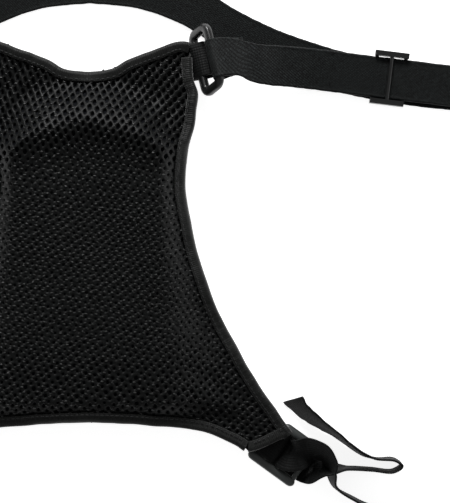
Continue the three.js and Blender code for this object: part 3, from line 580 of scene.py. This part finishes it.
def build_core(face):
    """The knit seen through the holes, and the backing cloth, as one closed body."""
    m = 120
    u = np.linspace(0, 1, m)
    uu, vv = np.meshgrid(u, u, indexing="ij")
    x, y = patch(uu, vv)
    top = np.stack([x, y, face_height(x, y) - 0.5 + 1.3 * slackened(x, y)], -1)
    low = np.stack([x, y, lift(x, y) - SEAT - SHEET], -1)
    heap = Heap().add(top.reshape(-1, 3), grid_faces(m, m)[:, ::-1])
    edge = np.concatenate([np.arange(m), np.arange(1, m) * m + m - 1, (m - 1) * m + np.arange(m - 2, -1, -1),
                           np.arange(m - 2, 0, -1) * m])
    base = heap.count
    heap.add(low.reshape(-1, 3), grid_faces(m, m))
    nxt = np.roll(edge, -1)
    heap.faces.append(np.stack([edge, nxt, nxt + base, edge + base], -1)[:, ::-1])
    core = heap.make("panel_core", material("inner_knit"))
    core.data.materials.append(material("pack_cloth"))
    index = np.zeros(len(core.data.polygons), np.int32)
    index[(m - 1) ** 2:] = 1
    core.data.polygons.foreach_set("material_index", index)
    core.parent = face
    return core


def build_panel(cloth):
    """The padded panel: its face, the loops that stand on it, and its core."""
    loop, rng = outline(), np.random.default_rng(5)
    pitch = cloth.hole_pitch / MM
    face, cells = build_face(pitch, cloth.row_pitch / MM, loop, rng)
    build_loops(face, cells, pitch, loop, rng)
    core = build_core(face)
    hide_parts("back_panel")
    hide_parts("backing_fabric")


def patch(u, v):
    """Coons patch over the panel's four edges, pulled in by the knit's inset."""
    wide, tall = 190, 240           # the panel's rough width and height
    du, dv = KNIT_INSET / wide, KNIT_INSET / tall
    u, v = du + u * (1 - 2 * du), dv + v * (1 - 2 * dv)
    flat = lambda c, s: np.moveaxis(c.at(s.ravel()).reshape(*s.shape, 2), -1, 0)
    b, t, l, r = flat(LOW_C, u), flat(TOP_C, u), flat(LEFT_C, v), flat(RIGHT_C, v)
    e = np.array([0.0, 1.0])
    (b0, b1), (t0, t1) = LOW_C.at(e), TOP_C.at(e)
    p = b * (1 - v) + t * v + l * (1 - u) + r * u
    for corner, w in ((b0, (1 - u) * (1 - v)), (b1, u * (1 - v)), (t0, (1 - u) * v), (t1, u * v)):
        p = p - corner[:, None, None] * w
    return p


def edge_tape(name, curve, s0, s1, flip, replaced, width, seed):
    """Binding folded over an edge: a C section with rolled lips, ribbed across and a little
    puckered where it is sewn, with a run of stitches along the inner lip."""
    length = curve.length * (s1 - s0)
    s = np.linspace(s0, s1, int(length / 0.3))
    p, d = curve.at(s), curve.along(s)
    inward = flip * np.stack([-d[:, 1], d[:, 0]], -1)
    run = (s - s0) * curve.length
    hi, lo, w = UP + 1.3, -SEAT - SHEET - 1.3, width
    prof = np.array([[w, hi - 0.5], [w - 0.5, hi - 0.15], [w * 0.62, hi - 0.35], [w * 0.42, hi + 0.5],
                     [0.9, hi + 0.1], [0.25, hi - 1.0], [0.0, 0.9], [0.0, -1.4], [0.3, lo + 0.9], [1.1, lo],
                     [w * 0.5, lo - 0.3], [w - 0.4, lo - 0.3], [w, lo + 0.15], [w - 0.3, lo + 0.7],
                     [1.3, lo + 0.9], [1.0, -1.2], [1.0, 0.9], [1.5, hi - 0.9], [w - 0.4, hi - 0.75]])
    rib = 0.17 * np.cos(2 * np.pi * run / RIB_PITCH)
    pucker = 0.34 * noise(run, run * 0, 8, seed, 2)
    a = prof[None, :, 0] + 0.16 * noise(run, run * 0, 17, seed + 1, 2)[:, None]
    outer = np.ones(len(prof))
    outer[13:] = 0
    b = prof[None, :, 1] + (rib + pucker)[:, None] * (outer * np.sign(prof[:, 1]))[None] * 0.7
    x = p[:, None, 0] + inward[:, None, 0] * a
    y = p[:, None, 1] + inward[:, None, 1] * a
    z = lift(x, y) + b + 0.6 * wrinkle(x, y) * (b > 0) * (a > 2)
    pts, faces = tube(np.stack([x, y, z], -1))
    if flip > 0:
        faces = [f[:, ::-1] for f in faces]
    obj = Heap().add(pts, faces).make(name, material("grosgrain_tape"))
    k = np.arange(2, int(length / STITCH_PITCH) - 1)
    t = s0 + (k * STITCH_PITCH + 0.4) / curve.length
    q, dd = curve.at(t), curve.along(t)
    nn = flip * np.stack([-dd[:, 1], dd[:, 0]], -1)
    at = q + nn * (w - STITCH_INSET)
    zz = lift(at[:, 0], at[:, 1]) + hi + 0.36 + 0.6 * wrinkle(at[:, 0], at[:, 1])
    places = np.column_stack([at, zz])
    ahead = q + dd * 0.5 + nn * (w - STITCH_INSET)
    rise = (lift(ahead[:, 0], ahead[:, 1]) - lift(at[:, 0], at[:, 1])) / 0.5
    along = unit(np.column_stack([dd, rise]))
    up = np.tile([0, 0, 1.0], (len(q), 1))
    up = unit(up - along * (up * along).sum(-1, keepdims=True))
    pts, faces = capsules(places, along, up, 2.3, 0.5, 0.42)
    thread = Heap().add(pts, faces).make(name + "_stitches", material("sewing_thread"))
    thread.parent = obj
    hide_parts(replaced)
    return obj


# ---- straps ----
class Band:
    """A strap's centre line and width direction through rows of place and side."""

    def __init__(self, rows, width, thick, step):
        rows = np.asarray(rows, float)
        t = np.linspace(0, 1, 80 * len(rows))
        p, last = catmull(rows[:, :3], t), len(rows) - 1
        f = np.clip(t * last, 0, last - 1e-9)
        k = f.astype(int)
        e = smooth(f - k)[:, None]
        side = rows[k, 3:] * (1 - e) + rows[k + 1, 3:] * e
        s = np.r_[0, np.cumsum(np.linalg.norm(np.diff(p, axis=0), axis=1))]
        n = int(s[-1] / step)
        self.s = np.linspace(0, s[-1], n)
        self.p = np.stack([np.interp(self.s, s, p[:, i]) for i in range(3)], -1)
        side = np.stack([np.interp(self.s, s, side[:, i]) for i in range(3)], -1)
        self.d = unit(np.gradient(self.p, axis=0))
        self.side = unit(side - self.d * (side * self.d).sum(-1, keepdims=True))
        self.up = unit(np.cross(self.d, self.side))
        drop = (np.abs(self.side[:, 2]) * width + np.abs(self.up[:, 2]) * thick) / 2
        self.p[:, 2] = np.maximum(self.p[:, 2], drop + 0.15)
        self.width, self.thick, self.length = width, thick, s[-1]

    def near(self, x, y, low=0.0, high=1.0):
        """The fraction of the length, between low and high, that comes nearest to a plan point."""
        d = np.hypot(self.p[:, 0] - x, self.p[:, 1] - y)
        f = self.s / self.length
        return float(f[np.argmin(np.where((f < low) | (f > high), 1e9, d))])

    def place(self, s, w, h):
        """Points at run s, w across and h above the middle."""
        q = lambda a: np.stack([np.interp(s, self.s, a[:, i]) for i in range(3)], -1)
        return q(self.p) + q(self.side) * np.asarray(w)[..., None] + q(self.up) * np.asarray(h)[..., None]


def strap_piece(name, band, cols, relief, mat, body="harness", cut=0.0, part=(0.0, 1.0), wave=0.012):
    """A strap as a closed tube: the section's top and bottom are grids with the weave as real relief, its
    selvedges are round. relief(run, across, face) gives the height in millimetres. part is the stretch of the
    band that is made, cut slants its far end, and wave is how far its width wanders."""
    w, t = band.width / 2, band.thick / 2
    a = np.linspace(-1, 1, cols)
    flat = w - t * 0.6
    x = a * flat
    turn = np.linspace(-np.pi / 2, np.pi / 2, 6)[1:-1]
    prof_w = np.r_[x, flat + t * 0.9 * np.cos(turn), x[::-1], -flat - t * 0.9 * np.cos(turn)]
    prof_h = np.r_[np.full(cols, -t), t * np.sin(turn), np.full(cols, t), -t * np.sin(turn)]
    face = np.r_[np.full(cols, -1.0), np.zeros(4), np.full(cols, 1.0), np.zeros(4)]
    pick = (band.s >= part[0] * band.length - 1e-6) & (band.s <= part[1] * band.length + 1e-6)
    run, line, side, up, way = (v[pick] for v in (band.s[:, None], band.p, band.side, band.up, band.d))
    h = prof_h[None] + relief(run, prof_w[None], face[None]) * face[None]
    across = prof_w[None] * (1 + wave * noise(run, run * 0, 9, 21, 3))
    shift = cut * (prof_w[None] / w) * np.clip(1 - (band.length - run) / 10, 0, 1)
    pts = (line[:, None] + side[:, None] * across[..., None] + up[:, None] * h[..., None]
           + way[:, None] * shift[..., None])
    pts[..., 2] = np.maximum(pts[..., 2], 0.05)
    v, f = tube(pts)
    return Heap().add(v, [q[:, ::-1] for q in f]).make(name, mat, body)


def twill(run, across, face):
    """Diagonal ridges every 1.3 mm, with a raised selvedge."""
    k = 2 * np.pi * (run * 0.7 - across * 0.71 * face) / 1.3
    edge = smooth((10.9 - np.abs(across)) / 0.8)
    roll = 0.16 * np.exp(-((np.abs(across) - 11.7) / 0.7) ** 2)
    rows = 0.10 * np.cos(k) + 0.05 * np.cos(2 * np.pi * run / 1.3)
    return rows * edge + roll + 0.06 * noise(run, across, 22, 8, 2)


def ribs(run, across, face):
    """Rows of warp along the webbing, with a shallow beat across."""
    edge = smooth((9.4 - np.abs(across)) / 0.8)
    rows = 0.16 * np.cos(2 * np.pi * across / 1.7) + 0.07 * np.cos(2 * np.pi * run / 1.5)
    return rows * edge + 0.05 * noise(run, across, 25, 9, 2)


RING_AT, RING_ARM = np.array([68.6, 126.3, 13.6]), unit(np.array([0.508, 0.356, 0.785]))
RING_BAR = unit(np.array([-0.238, 0.933, -0.269]))
LOCK_AT, LOCK_ARM = np.array([115.4, -108.9, 8.0]), unit(np.array([0.809, -0.588, 0.0]))
LOCK_BAR = unit(np.array([0.588, 0.809, 0.0]))
BAR = 1.7


def shoulder_rows():
    """Rows of the elastic's right half, from its sewn end round the ring to the middle of the neck."""
    far = RING_AT + RING_ARM * 17.2 - RING_BAR * 4
    side, out = RING_BAR, unit(np.array([0.92, 0.055, -0.377]))
    up, r = unit(np.cross(out, side)), BAR + 0.7 + 0.8
    rows = [[*(far + out * a + up * b + side * 2.6), *side] for a, b in [(22, -r + 0.3), (10, -r + 0.1)]]
    rows += [[*(far + out * a + up * b), *side] for a, b in
            [(r * np.cos(t), r * np.sin(t)) for t in -np.pi / 2 - np.pi * np.arange(7) / 6] + [(12, r)]]
    return rows + [
        [104, 126.9, 18.4, -0.1, 0.98, -0.2], [126, 125.2, 13.4, 0.02, 0.99, -0.07],
        [145.1, 123.4, 9.8, 0.1, 0.99, 0], [163, 121.2, 8.6, 0.12, 0.99, 0],
        [186, 118.4, 8.4, 0.12, 0.99, 0], [214, 115, 8.3, 0.12, 0.99, 0], [238, 111.9, 7.4, 0.15, 0.98, 0],
        [242.2, 111, 4.3, 0.18, 0.97, 0], [238, 111, 1.2, 0.22, 0.96, 0], [200, 114.8, 1.2, 0.2, 0.97, 0],
        [161.5, 121.8, 1.2, 0.26, 0.96, 0], [138.7, 128, 1.2, 0.3, 0.95, 0],
        [110.8, 138, 1.2, 0.36, 0.93, 0], [86, 150, 1.2, 0.46, 0.88, 0], [62, 164.5, 1.2, 0.44, 0.9, 0],
        [32, 175, 1.2, 0.22, 0.97, 0], [0, 178.5, 1.2, 0, 1, 0]]


BUCKLE_Y, BUCKLE_Z = -196, 6.2


def waist_rows():
    """Rows of the right waist webbing: buckle plug, round, over and under the ladder lock, and the tail."""
    d, s, r = LOCK_ARM, LOCK_BAR, BAR + 1.1 + 0.65
    zm, y, f = LOCK_AT[2], BUCKLE_Y, BUCKLE_Z
    at = lambda a, b, z, side=(0.588, 0.809, 0): [*(LOCK_AT[:2] + d[:2] * a + s[:2] * b), z, *side]
    rows = [[62, y, f + 3.3, 0, 1, 0], [49, y, f + 3.2, 0, 1, 0]]
    rows += [[46 + a, y, f + b, 0, 1, 0] for a, b in [(-2.4, 1.7), (-3.2, 0), (-2.4, -1.7)]]
    rows += [[49, y, f - 3.2, 0, 1, 0], [70, y, f - 3.6, 0, 1, 0], [110, y - 1, 2.2, 0, 1, 0.25],
             [140, y - 2, 6, -0.05, 0.75, 0.66], [168, y + 2, 10.2, -0.1, 0.15, 0.98],
             [186, y + 15, 10.4, 0, 0, 1], [191, -165, 10.4, 0, 0, 1], [184, -152, 10.4, 0, 0, 1],
             [166, -143, 10.4, 0, 0, 1], [152, -134, 10.6, 0.1, 0, 1],
             [149.6, -125.5, 11.6, 0.25, 0.02, 0.97], [147.4, -117.6, 14.2, 0.34, 0.3, 0.89],
             [141, -112.2, 16.4, 0.4, 0.56, 0.72], [134.4, -111.4, 16.2, 0.48, 0.7, 0.53],
             [127.6, -114.4, 14, 0.54, 0.79, 0.28]]
    rows += [at(9.4 + r * np.cos(t), 0, zm + r * np.sin(t)) for t in np.pi * (0.5 + np.arange(7) / 6)]
    rows += [at(14, 0, zm - r - 0.3), at(21, 0, zm - r - 0.8),
             at(27, 0.6, zm - r - 0.4, (0.5, 0.75, -0.45)), [150, -123.8, 8.6, 0.05, 0.25, -0.96],
             [161, -122.9, 10.3, 0, 0, -1], [175, -123.6, 10.3, 0, 0, -1], [188, -124.6, 10.3, 0, 0, -1],
             [193.4, -121, 10.3, 0, 0, -1], [189, -117.6, 10.3, 0, 0, -1], [178, -117, 10.3, 0, -0.05, -1],
             [170, -114.4, 10.2, -0.05, -0.1, -0.99], [160.5, -108, 10.1, -0.08, -0.11, -0.985],
             [153.2, -102.2, 10, -0.12, -0.15, -0.975], [145.2, -97, 10, -0.17, -0.23, -0.96],
             [138, -91.8, 9.8, -0.24, -0.3, -0.92], [131.8, -86.8, 9.4, -0.3, -0.34, -0.89],
             [126.2, -80.4, 8.9, -0.38, -0.42, -0.82]]
    return rows


def left_rows():
    """Rows of the left waist webbing, from under the panel's corner to the socket's bar."""
    y, f = BUCKLE_Y, BUCKLE_Z
    rows = [[-101, -97, 10.4, -0.588, 0.809, 0], [-112, -105, 10.4, -0.588, 0.809, 0],
            [-128, -117, 9, -0.56, 0.8, 0.1], [-148, -130, 9, -0.3, 0.4, 0.85], [-174, -146, 10.3, 0, 0, 1],
            [-190, -163, 10.3, 0, 0, 1], [-186, -183, 10.3, 0, 0, 1], [-168, y + 2, 10.2, 0, 0.15, 0.98],
            [-140, y - 1, 6, 0, 0.75, 0.66], [-110, y, 2.2, 0, 1, 0.2], [-70, y, f - 3.6, 0, 1, 0],
            [-37, y, f - 3.2, 0, 1, 0]]
    rows += [[-34 + a, y, f + b, 0, 1, 0] for a, b in [(2.4, -1.7), (3.2, 0), (2.4, 1.7)]]
    return rows + [[-37, y, f + 3.2, 0, 1, 0], [-54, y, f + 3.3, 0, 1, 0]]


def tab_rows(at, way, bar, length, along, loose):
    """Rows of a tab: under the panel's corner, round a bar and back over the panel."""
    r, d = BAR + 0.8 + 0.65, unit(np.asarray(way, float))
    up, flat = unit(np.cross(d, bar)), unit(np.cross([0, 0, 1], d))
    hi, lo = -6.0, -8.2

    def put(a, b):
        q = at + d * a + bar * along
        return [q[0], q[1], float(lift(q[0], q[1])) + b, *flat]

    def wrap(a, b):
        return [*(at + d * (a + loose) + up * b + bar * along), *bar]
    near = [length, length * 0.75, length * 0.5]
    return ([put(-a, lo) for a in near] + [wrap(-3.2, -r * 0.96)]
            + [wrap(r * np.cos(t), r * np.sin(t)) for t in -np.pi / 2 + np.pi * np.arange(7) / 6]
            + [wrap(-3.2, r * 0.9)] + [put(-a, hi) for a in near[::-1]])


def flip_rows(rows):
    """Rows mirrored to the left side."""
    return [[-a, b, c, -d, e, f] for a, b, c, d, e, f in rows]


# ---- moulded links ----
def bar_mesh(a, b, rx, rz, up, round_end, n):
    """A bar from a to b with an elliptic section and domed ends."""
    a, b, up = (np.asarray(v, float) for v in (a, b, up))
    d = unit(b - a)
    side = unit(np.cross(up, d))
    up = np.cross(d, side)
    length = np.linalg.norm(b - a)
    th = np.linspace(0, 2 * np.pi, n, endpoint=False)
    g = np.linspace(0, np.pi / 2, 5)
    k = np.r_[np.sin(g) * 0.999 + 0.001, [1.0], np.sin(g[::-1]) * 0.999 + 0.001]
    cap = round_end * (1 - np.cos(g))
    u = np.r_[cap, [length / 2], length - cap[::-1]]
    return tube(a + d * u[:, None, None] + side * (rx * k[:, None] * np.cos(th))[..., None]
                + up * (rz * k[:, None] * np.sin(th))[..., None])


def frame_mesh(at, ex, ey, x0, x1, half, rx, rz, corner):
    """A closed rounded rectangular frame: an elliptic section carried round a rounded rectangle."""
    ez = np.cross(ex, ey)
    th = np.linspace(0, np.pi / 2, 7)
    c, s = np.cos(th) * corner, np.sin(th) * corner
    path = np.vstack([np.column_stack([x1 - corner + c, half - corner + s]),
                      np.column_stack([x0 + corner - s, half - corner + c]),
                      np.column_stack([x0 + corner - c, -half + corner - s]),
                      np.column_stack([x1 - corner + s, -half + corner - c])])
    steps = np.linalg.norm(np.roll(path, -1, 0) - path, axis=1)
    fine = []
    for k, p in enumerate(path):
        m = max(1, int(steps[k] / 0.8))
        q = path[(k + 1) % len(path)]
        fine.append(p + (q - p) * (np.arange(m) / m)[:, None])
    path = np.vstack(fine)
    d = unit(np.roll(path, -1, 0) - np.roll(path, 1, 0))
    out = np.stack([d[:, 1], -d[:, 0]], -1)
    a = np.linspace(0, 2 * np.pi, 24, endpoint=False)
    ca, sa = np.sign(np.cos(a)) * np.abs(np.cos(a)) ** 0.75, np.sign(np.sin(a)) * np.abs(np.sin(a)) ** 0.75
    flat = path[:, None] + out[:, None] * (rx * ca)[None, :, None]
    pts = at + ex * flat[..., :1] + ey * flat[..., 1:] + ez * (rz * sa)[None, :, None]
    n, m = pts.shape[:2]
    i, j = np.meshgrid(np.arange(n), np.arange(m), indexing="ij")
    i2, j2 = (i + 1) % n, (j + 1) % m
    quads = np.stack([i * m + j, i * m + j2, i2 * m + j2, i2 * m + j], -1)
    return pts.reshape(-1, 3), quads.reshape(-1, 4)


def build_ring(sign, name):
    """A moulded ring on the bar of its tab. The left one is the right one mirrored."""
    across = np.cross(unit(np.cross(RING_ARM, RING_BAR)), RING_ARM)
    pts, quads = frame_mesh(RING_AT, RING_ARM, across, -0.4, 16.6, 19.0, 2.9, 2.5, 4.2)
    if sign < 0:
        pts, quads = pts * [-1, 1, 1], quads[:, ::-1]
    obj = Heap().add(pts, quads).make(name + "_moulding", material("moulded_acetal"), name)
    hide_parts(name)


def build_lock():
    """The ladder lock: two side arms and three cross bars."""
    arm, bar = LOCK_ARM, LOCK_BAR
    ez = unit(np.cross(arm, bar))
    bar = np.cross(ez, arm)
    heap = Heap()
    half = 12.9
    spot = lambda a, b, c=0.0: LOCK_AT + arm * a + bar * b + ez * c
    for s, first in ((-1, -11), (1, -3)):
        heap.add(*bar_mesh(spot(first, s * half), spot(23.6, s * half), 3.0, 2.3, ez, 3.4, 32))
    for a in (0, 9.5, 21):
        heap.add(*bar_mesh(spot(a, -half), spot(a, half), 1.68, 1.68, ez, 0.4, 20))
    # the lock's pale colour is a painted highlight, not the plastic's own tone
    obj = heap.make("ladder_lock_moulding", material("acetal_painted_highlight"), "ladder_lock")
    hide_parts("lower_right_ladder_lock")


# ---- operators ----
class HARNESS_OT_panel(bpy.types.Operator):
    """Knitted back panel with its edge tapes."""
    bl_idname = "harness.panel"
    bl_label = "Back panel and tapes"

    def execute(self, context):
        cloth = context.scene.harness_cloth
        build_panel(cloth)
        w = cloth.tape_width / MM
        edge_tape("tape_top", TOP_C, 0.004, 0.996, -1, "binding_top", w, 31)
        edge_tape("tape_bottom", LOW_C, 0.125, 0.875, 1, "binding_bottom", w, 33)
        for side, s0, s1 in (("right", 0.885, 0.985), ("left", 0.015, 0.115)):
            edge_tape("tape_corner_" + side, LOW_C, s0, s1, 1, "binding_bottom", w, 39)
        edge_tape("tape_right", RIGHT_C, 0.004, 0.965, 1, "binding_right", w, 35)
        edge_tape("tape_left", LEFT_C, 0.004, 0.965, -1, "binding_left", w, 37)
        return {"FINISHED"}


class HARNESS_OT_links(bpy.types.Operator):
    """Moulded rings and ladder lock, with their tabs."""
    bl_idname = "harness.links"
    bl_label = "Rings, lock and tabs"

    def execute(self, context):
        build_ring(1, "upper_right_ring")
        build_ring(-1, "upper_left_ring")
        build_lock()
        upper = tab_rows(RING_AT, (1, 0.2, 0), RING_BAR, 15, 2.6, 4.4)
        lower = tab_rows(LOCK_AT, LOCK_ARM, LOCK_BAR, 17, 0.0, 2.3)
        for name, rows, width in (("upper_right_tab", upper, 22), ("upper_left_tab", flip_rows(upper), 22),
                                  ("lower_right_tab", lower, 20.2)):
            band = Band(rows, width, 1.3, 0.4)
            obj = strap_piece(name + "_webbing", band, 40, ribs, material("flat_webbing"))
            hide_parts(name)
        return {"FINISHED"}


class HARNESS_OT_straps(bpy.types.Operator):
    """Elastic shoulder strap and waist webbing."""
    bl_idname = "harness.straps"
    bl_label = "Straps"

    def execute(self, context):
        s = context.scene.harness_straps
        rows = shoulder_rows()
        for sign, side in ((1, "right"), (-1, "left")):
            use = rows if sign > 0 else flip_rows(rows)
            band = Band(use, s.elastic / MM, 1.6, 0.5)
            cut, mat = band.near(sign * 150, 123, 0, 0.5), material("twill_elastic")
            ring = strap_piece("shoulder_elastic_" + side, band, 50, twill, mat, None, part=(0, cut))
            neck = strap_piece("neck_elastic_" + side, band, 50, twill, mat, part=(cut, 1))
            for obj in (ring, neck):
                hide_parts("shoulder_strap")
            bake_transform(ring)
        band = Band(waist_rows(), s.webbing / MM, 1.3, 0.5)
        a, b = band.near(184, -152, 0, 0.7), band.near(189, -117.6, 0.6, 1)
        mat = material("flat_webbing")
        plug = strap_piece("waist_webbing_plug_run", band, 34, ribs, mat, None, part=(0, a))
        lock = strap_piece("waist_webbing_lock_run", band, 34, ribs, mat, None, part=(a, b))
        tail = strap_piece("waist_webbing_tail", band, 34, ribs, mat, "harness", 2.5, (b, 1), 0.05)
        for obj in (plug, lock, tail):
            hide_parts("waist_webbing_right")
        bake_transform(plug)
        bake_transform(lock)
        obj = strap_piece("waist_webbing_left_woven", Band(left_rows(), s.webbing / MM, 1.3, 0.6), 34, ribs,
                          material("flat_webbing"))
        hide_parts("waist_webbing_left")
        return {"FINISHED"}


class HARNESS_OT_finishes(bpy.types.Operator):
    """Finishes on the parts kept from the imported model."""
    bl_idname = "harness.finishes"
    bl_label = "Finishes"

    def execute(self, context):
        names = {"fabric": "pack_cloth", "plastic": "moulded_acetal", "zip": "moulded_acetal",
                 "case": "moulded_case_grey", "shell": "moulded_case_orange", "seal": "silicone_seal",
                 "board": "solder_mask", "glass": "clear_window", "lcd": "liquid_crystal",
                 "ferrite": "sintered_ferrite", "copper": "enamelled_copper", "steel": "plated_steel",
                 "cell": "battery_can", "knob": "moulded_knob", "webbing": "flat_webbing"}
        slots = {s["node"]: s["material_slot"] for s in frame["record"]["subparts"]}
        for obj in bpy.data.objects:
            key = obj.get("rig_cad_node")
            if key and slots.get(key) in names:
                obj.data.materials.clear()
                obj.data.materials.append(material(names[slots[key]]))
        return {"FINISHED"}


class HARNESS_OT_stage(bpy.types.Operator):
    """Floor, light and camera."""
    bl_idname = "harness.stage"
    bl_label = "Stage"

    def execute(self, context):
        scene = context.scene
        mesh = bpy.data.meshes.new("floor")
        corners = [(x, y, -0.0005) for x, y in ((-4, -4), (4, -4), (4, 4), (-4, 4))]
        mesh.from_pydata(corners, [], [(0, 1, 2, 3)])
        mat = bpy.data.materials.new("white_table")
        mat.use_nodes = True
        shader = mat.node_tree.nodes["Principled BSDF"]
        shader.inputs["Base Color"].default_value = (0.92, 0.92, 0.92, 1)
        shader.inputs["Roughness"].default_value = 0.9
        shader.inputs["Emission Color"].default_value = (1, 1, 1, 1)
        shader.inputs["Emission Strength"].default_value = 0.85
        mesh.materials.append(mat)
        floor = bpy.data.objects.new("floor", mesh)
        scene.collection.objects.link(floor)

        def area(name, place, target, size, size_y, power):
            """A rectangular lamp in metres and watts, turned to its target."""
            data = bpy.data.lights.new(name, "AREA")
            data.shape, data.size, data.size_y, data.energy = "RECTANGLE", size, size_y, power
            lamp = bpy.data.objects.new(name, data)
            lamp.location = place
            lamp.rotation_euler = (Vector(target) - Vector(place)).to_track_quat("-Z", "Y").to_euler()
            scene.collection.objects.link(lamp)
        area("key", (-0.05, 1.6, 0.95), (0.06, 0.0, 0.0), 1.0, 0.5, 36)
        area("side", (1.5, 0.2, 0.5), (0.06, 0.0, 0.0), 0.6, 0.6, 1.8)
        world = bpy.data.worlds.new("studio")
        world.use_nodes = True
        world.node_tree.nodes["Background"].inputs["Color"].default_value = (1, 1, 1, 1)
        world.node_tree.nodes["Background"].inputs["Strength"].default_value = 0.24
        scene.world = world
        scene.view_settings.view_transform = "Standard"
        data = bpy.data.cameras.new("camera")
        data.lens, data.sensor_width, data.clip_end = 165.35, 36.0, 20
        camera = bpy.data.objects.new("camera", data)
        camera.location = (0.0842, 0.0112, 1.44)
        scene.collection.objects.link(camera)
        scene.camera = camera
        return {"FINISHED"}


class HARNESS_PT_panel(bpy.types.Panel):
    """Lists the build steps."""
    bl_idname = "HARNESS_PT_panel"
    bl_label = "Transceiver harness"
    bl_space_type = "VIEW_3D"
    bl_region_type = "UI"
    bl_category = "Harness"

    def draw(self, context):
        for op in STEPS:
            self.layout.operator(op.bl_idname)


GROUPS = (("harness_cloth", HarnessClothSettings), ("harness_straps", HarnessStrapSettings),
          ("harness_plastic", HarnessPlasticSettings))
STEPS = (HARNESS_OT_panel, HARNESS_OT_links, HARNESS_OT_straps, HARNESS_OT_finishes, HARNESS_OT_stage)


def register():
    for _, cls in GROUPS:
        bpy.utils.register_class(cls)
    for cls in (*STEPS, HARNESS_PT_panel):
        bpy.utils.register_class(cls)
    for name, cls in GROUPS:
        setattr(bpy.types.Scene, name, bpy.props.PointerProperty(type=cls))


def unregister():
    for name, cls in GROUPS:
        delattr(bpy.types.Scene, name)
    for cls in (HARNESS_PT_panel, *reversed(STEPS)):
        bpy.utils.unregister_class(cls)
    for _, cls in reversed(GROUPS):
        bpy.utils.unregister_class(cls)


def main():
    register()
    for op in STEPS:
        group, name = op.bl_idname.split(".")
        if getattr(getattr(bpy.ops, group), name)() != {"FINISHED"}:
            raise RuntimeError(op.bl_label + " did not finish")


if __name__ == "__main__":
    main()
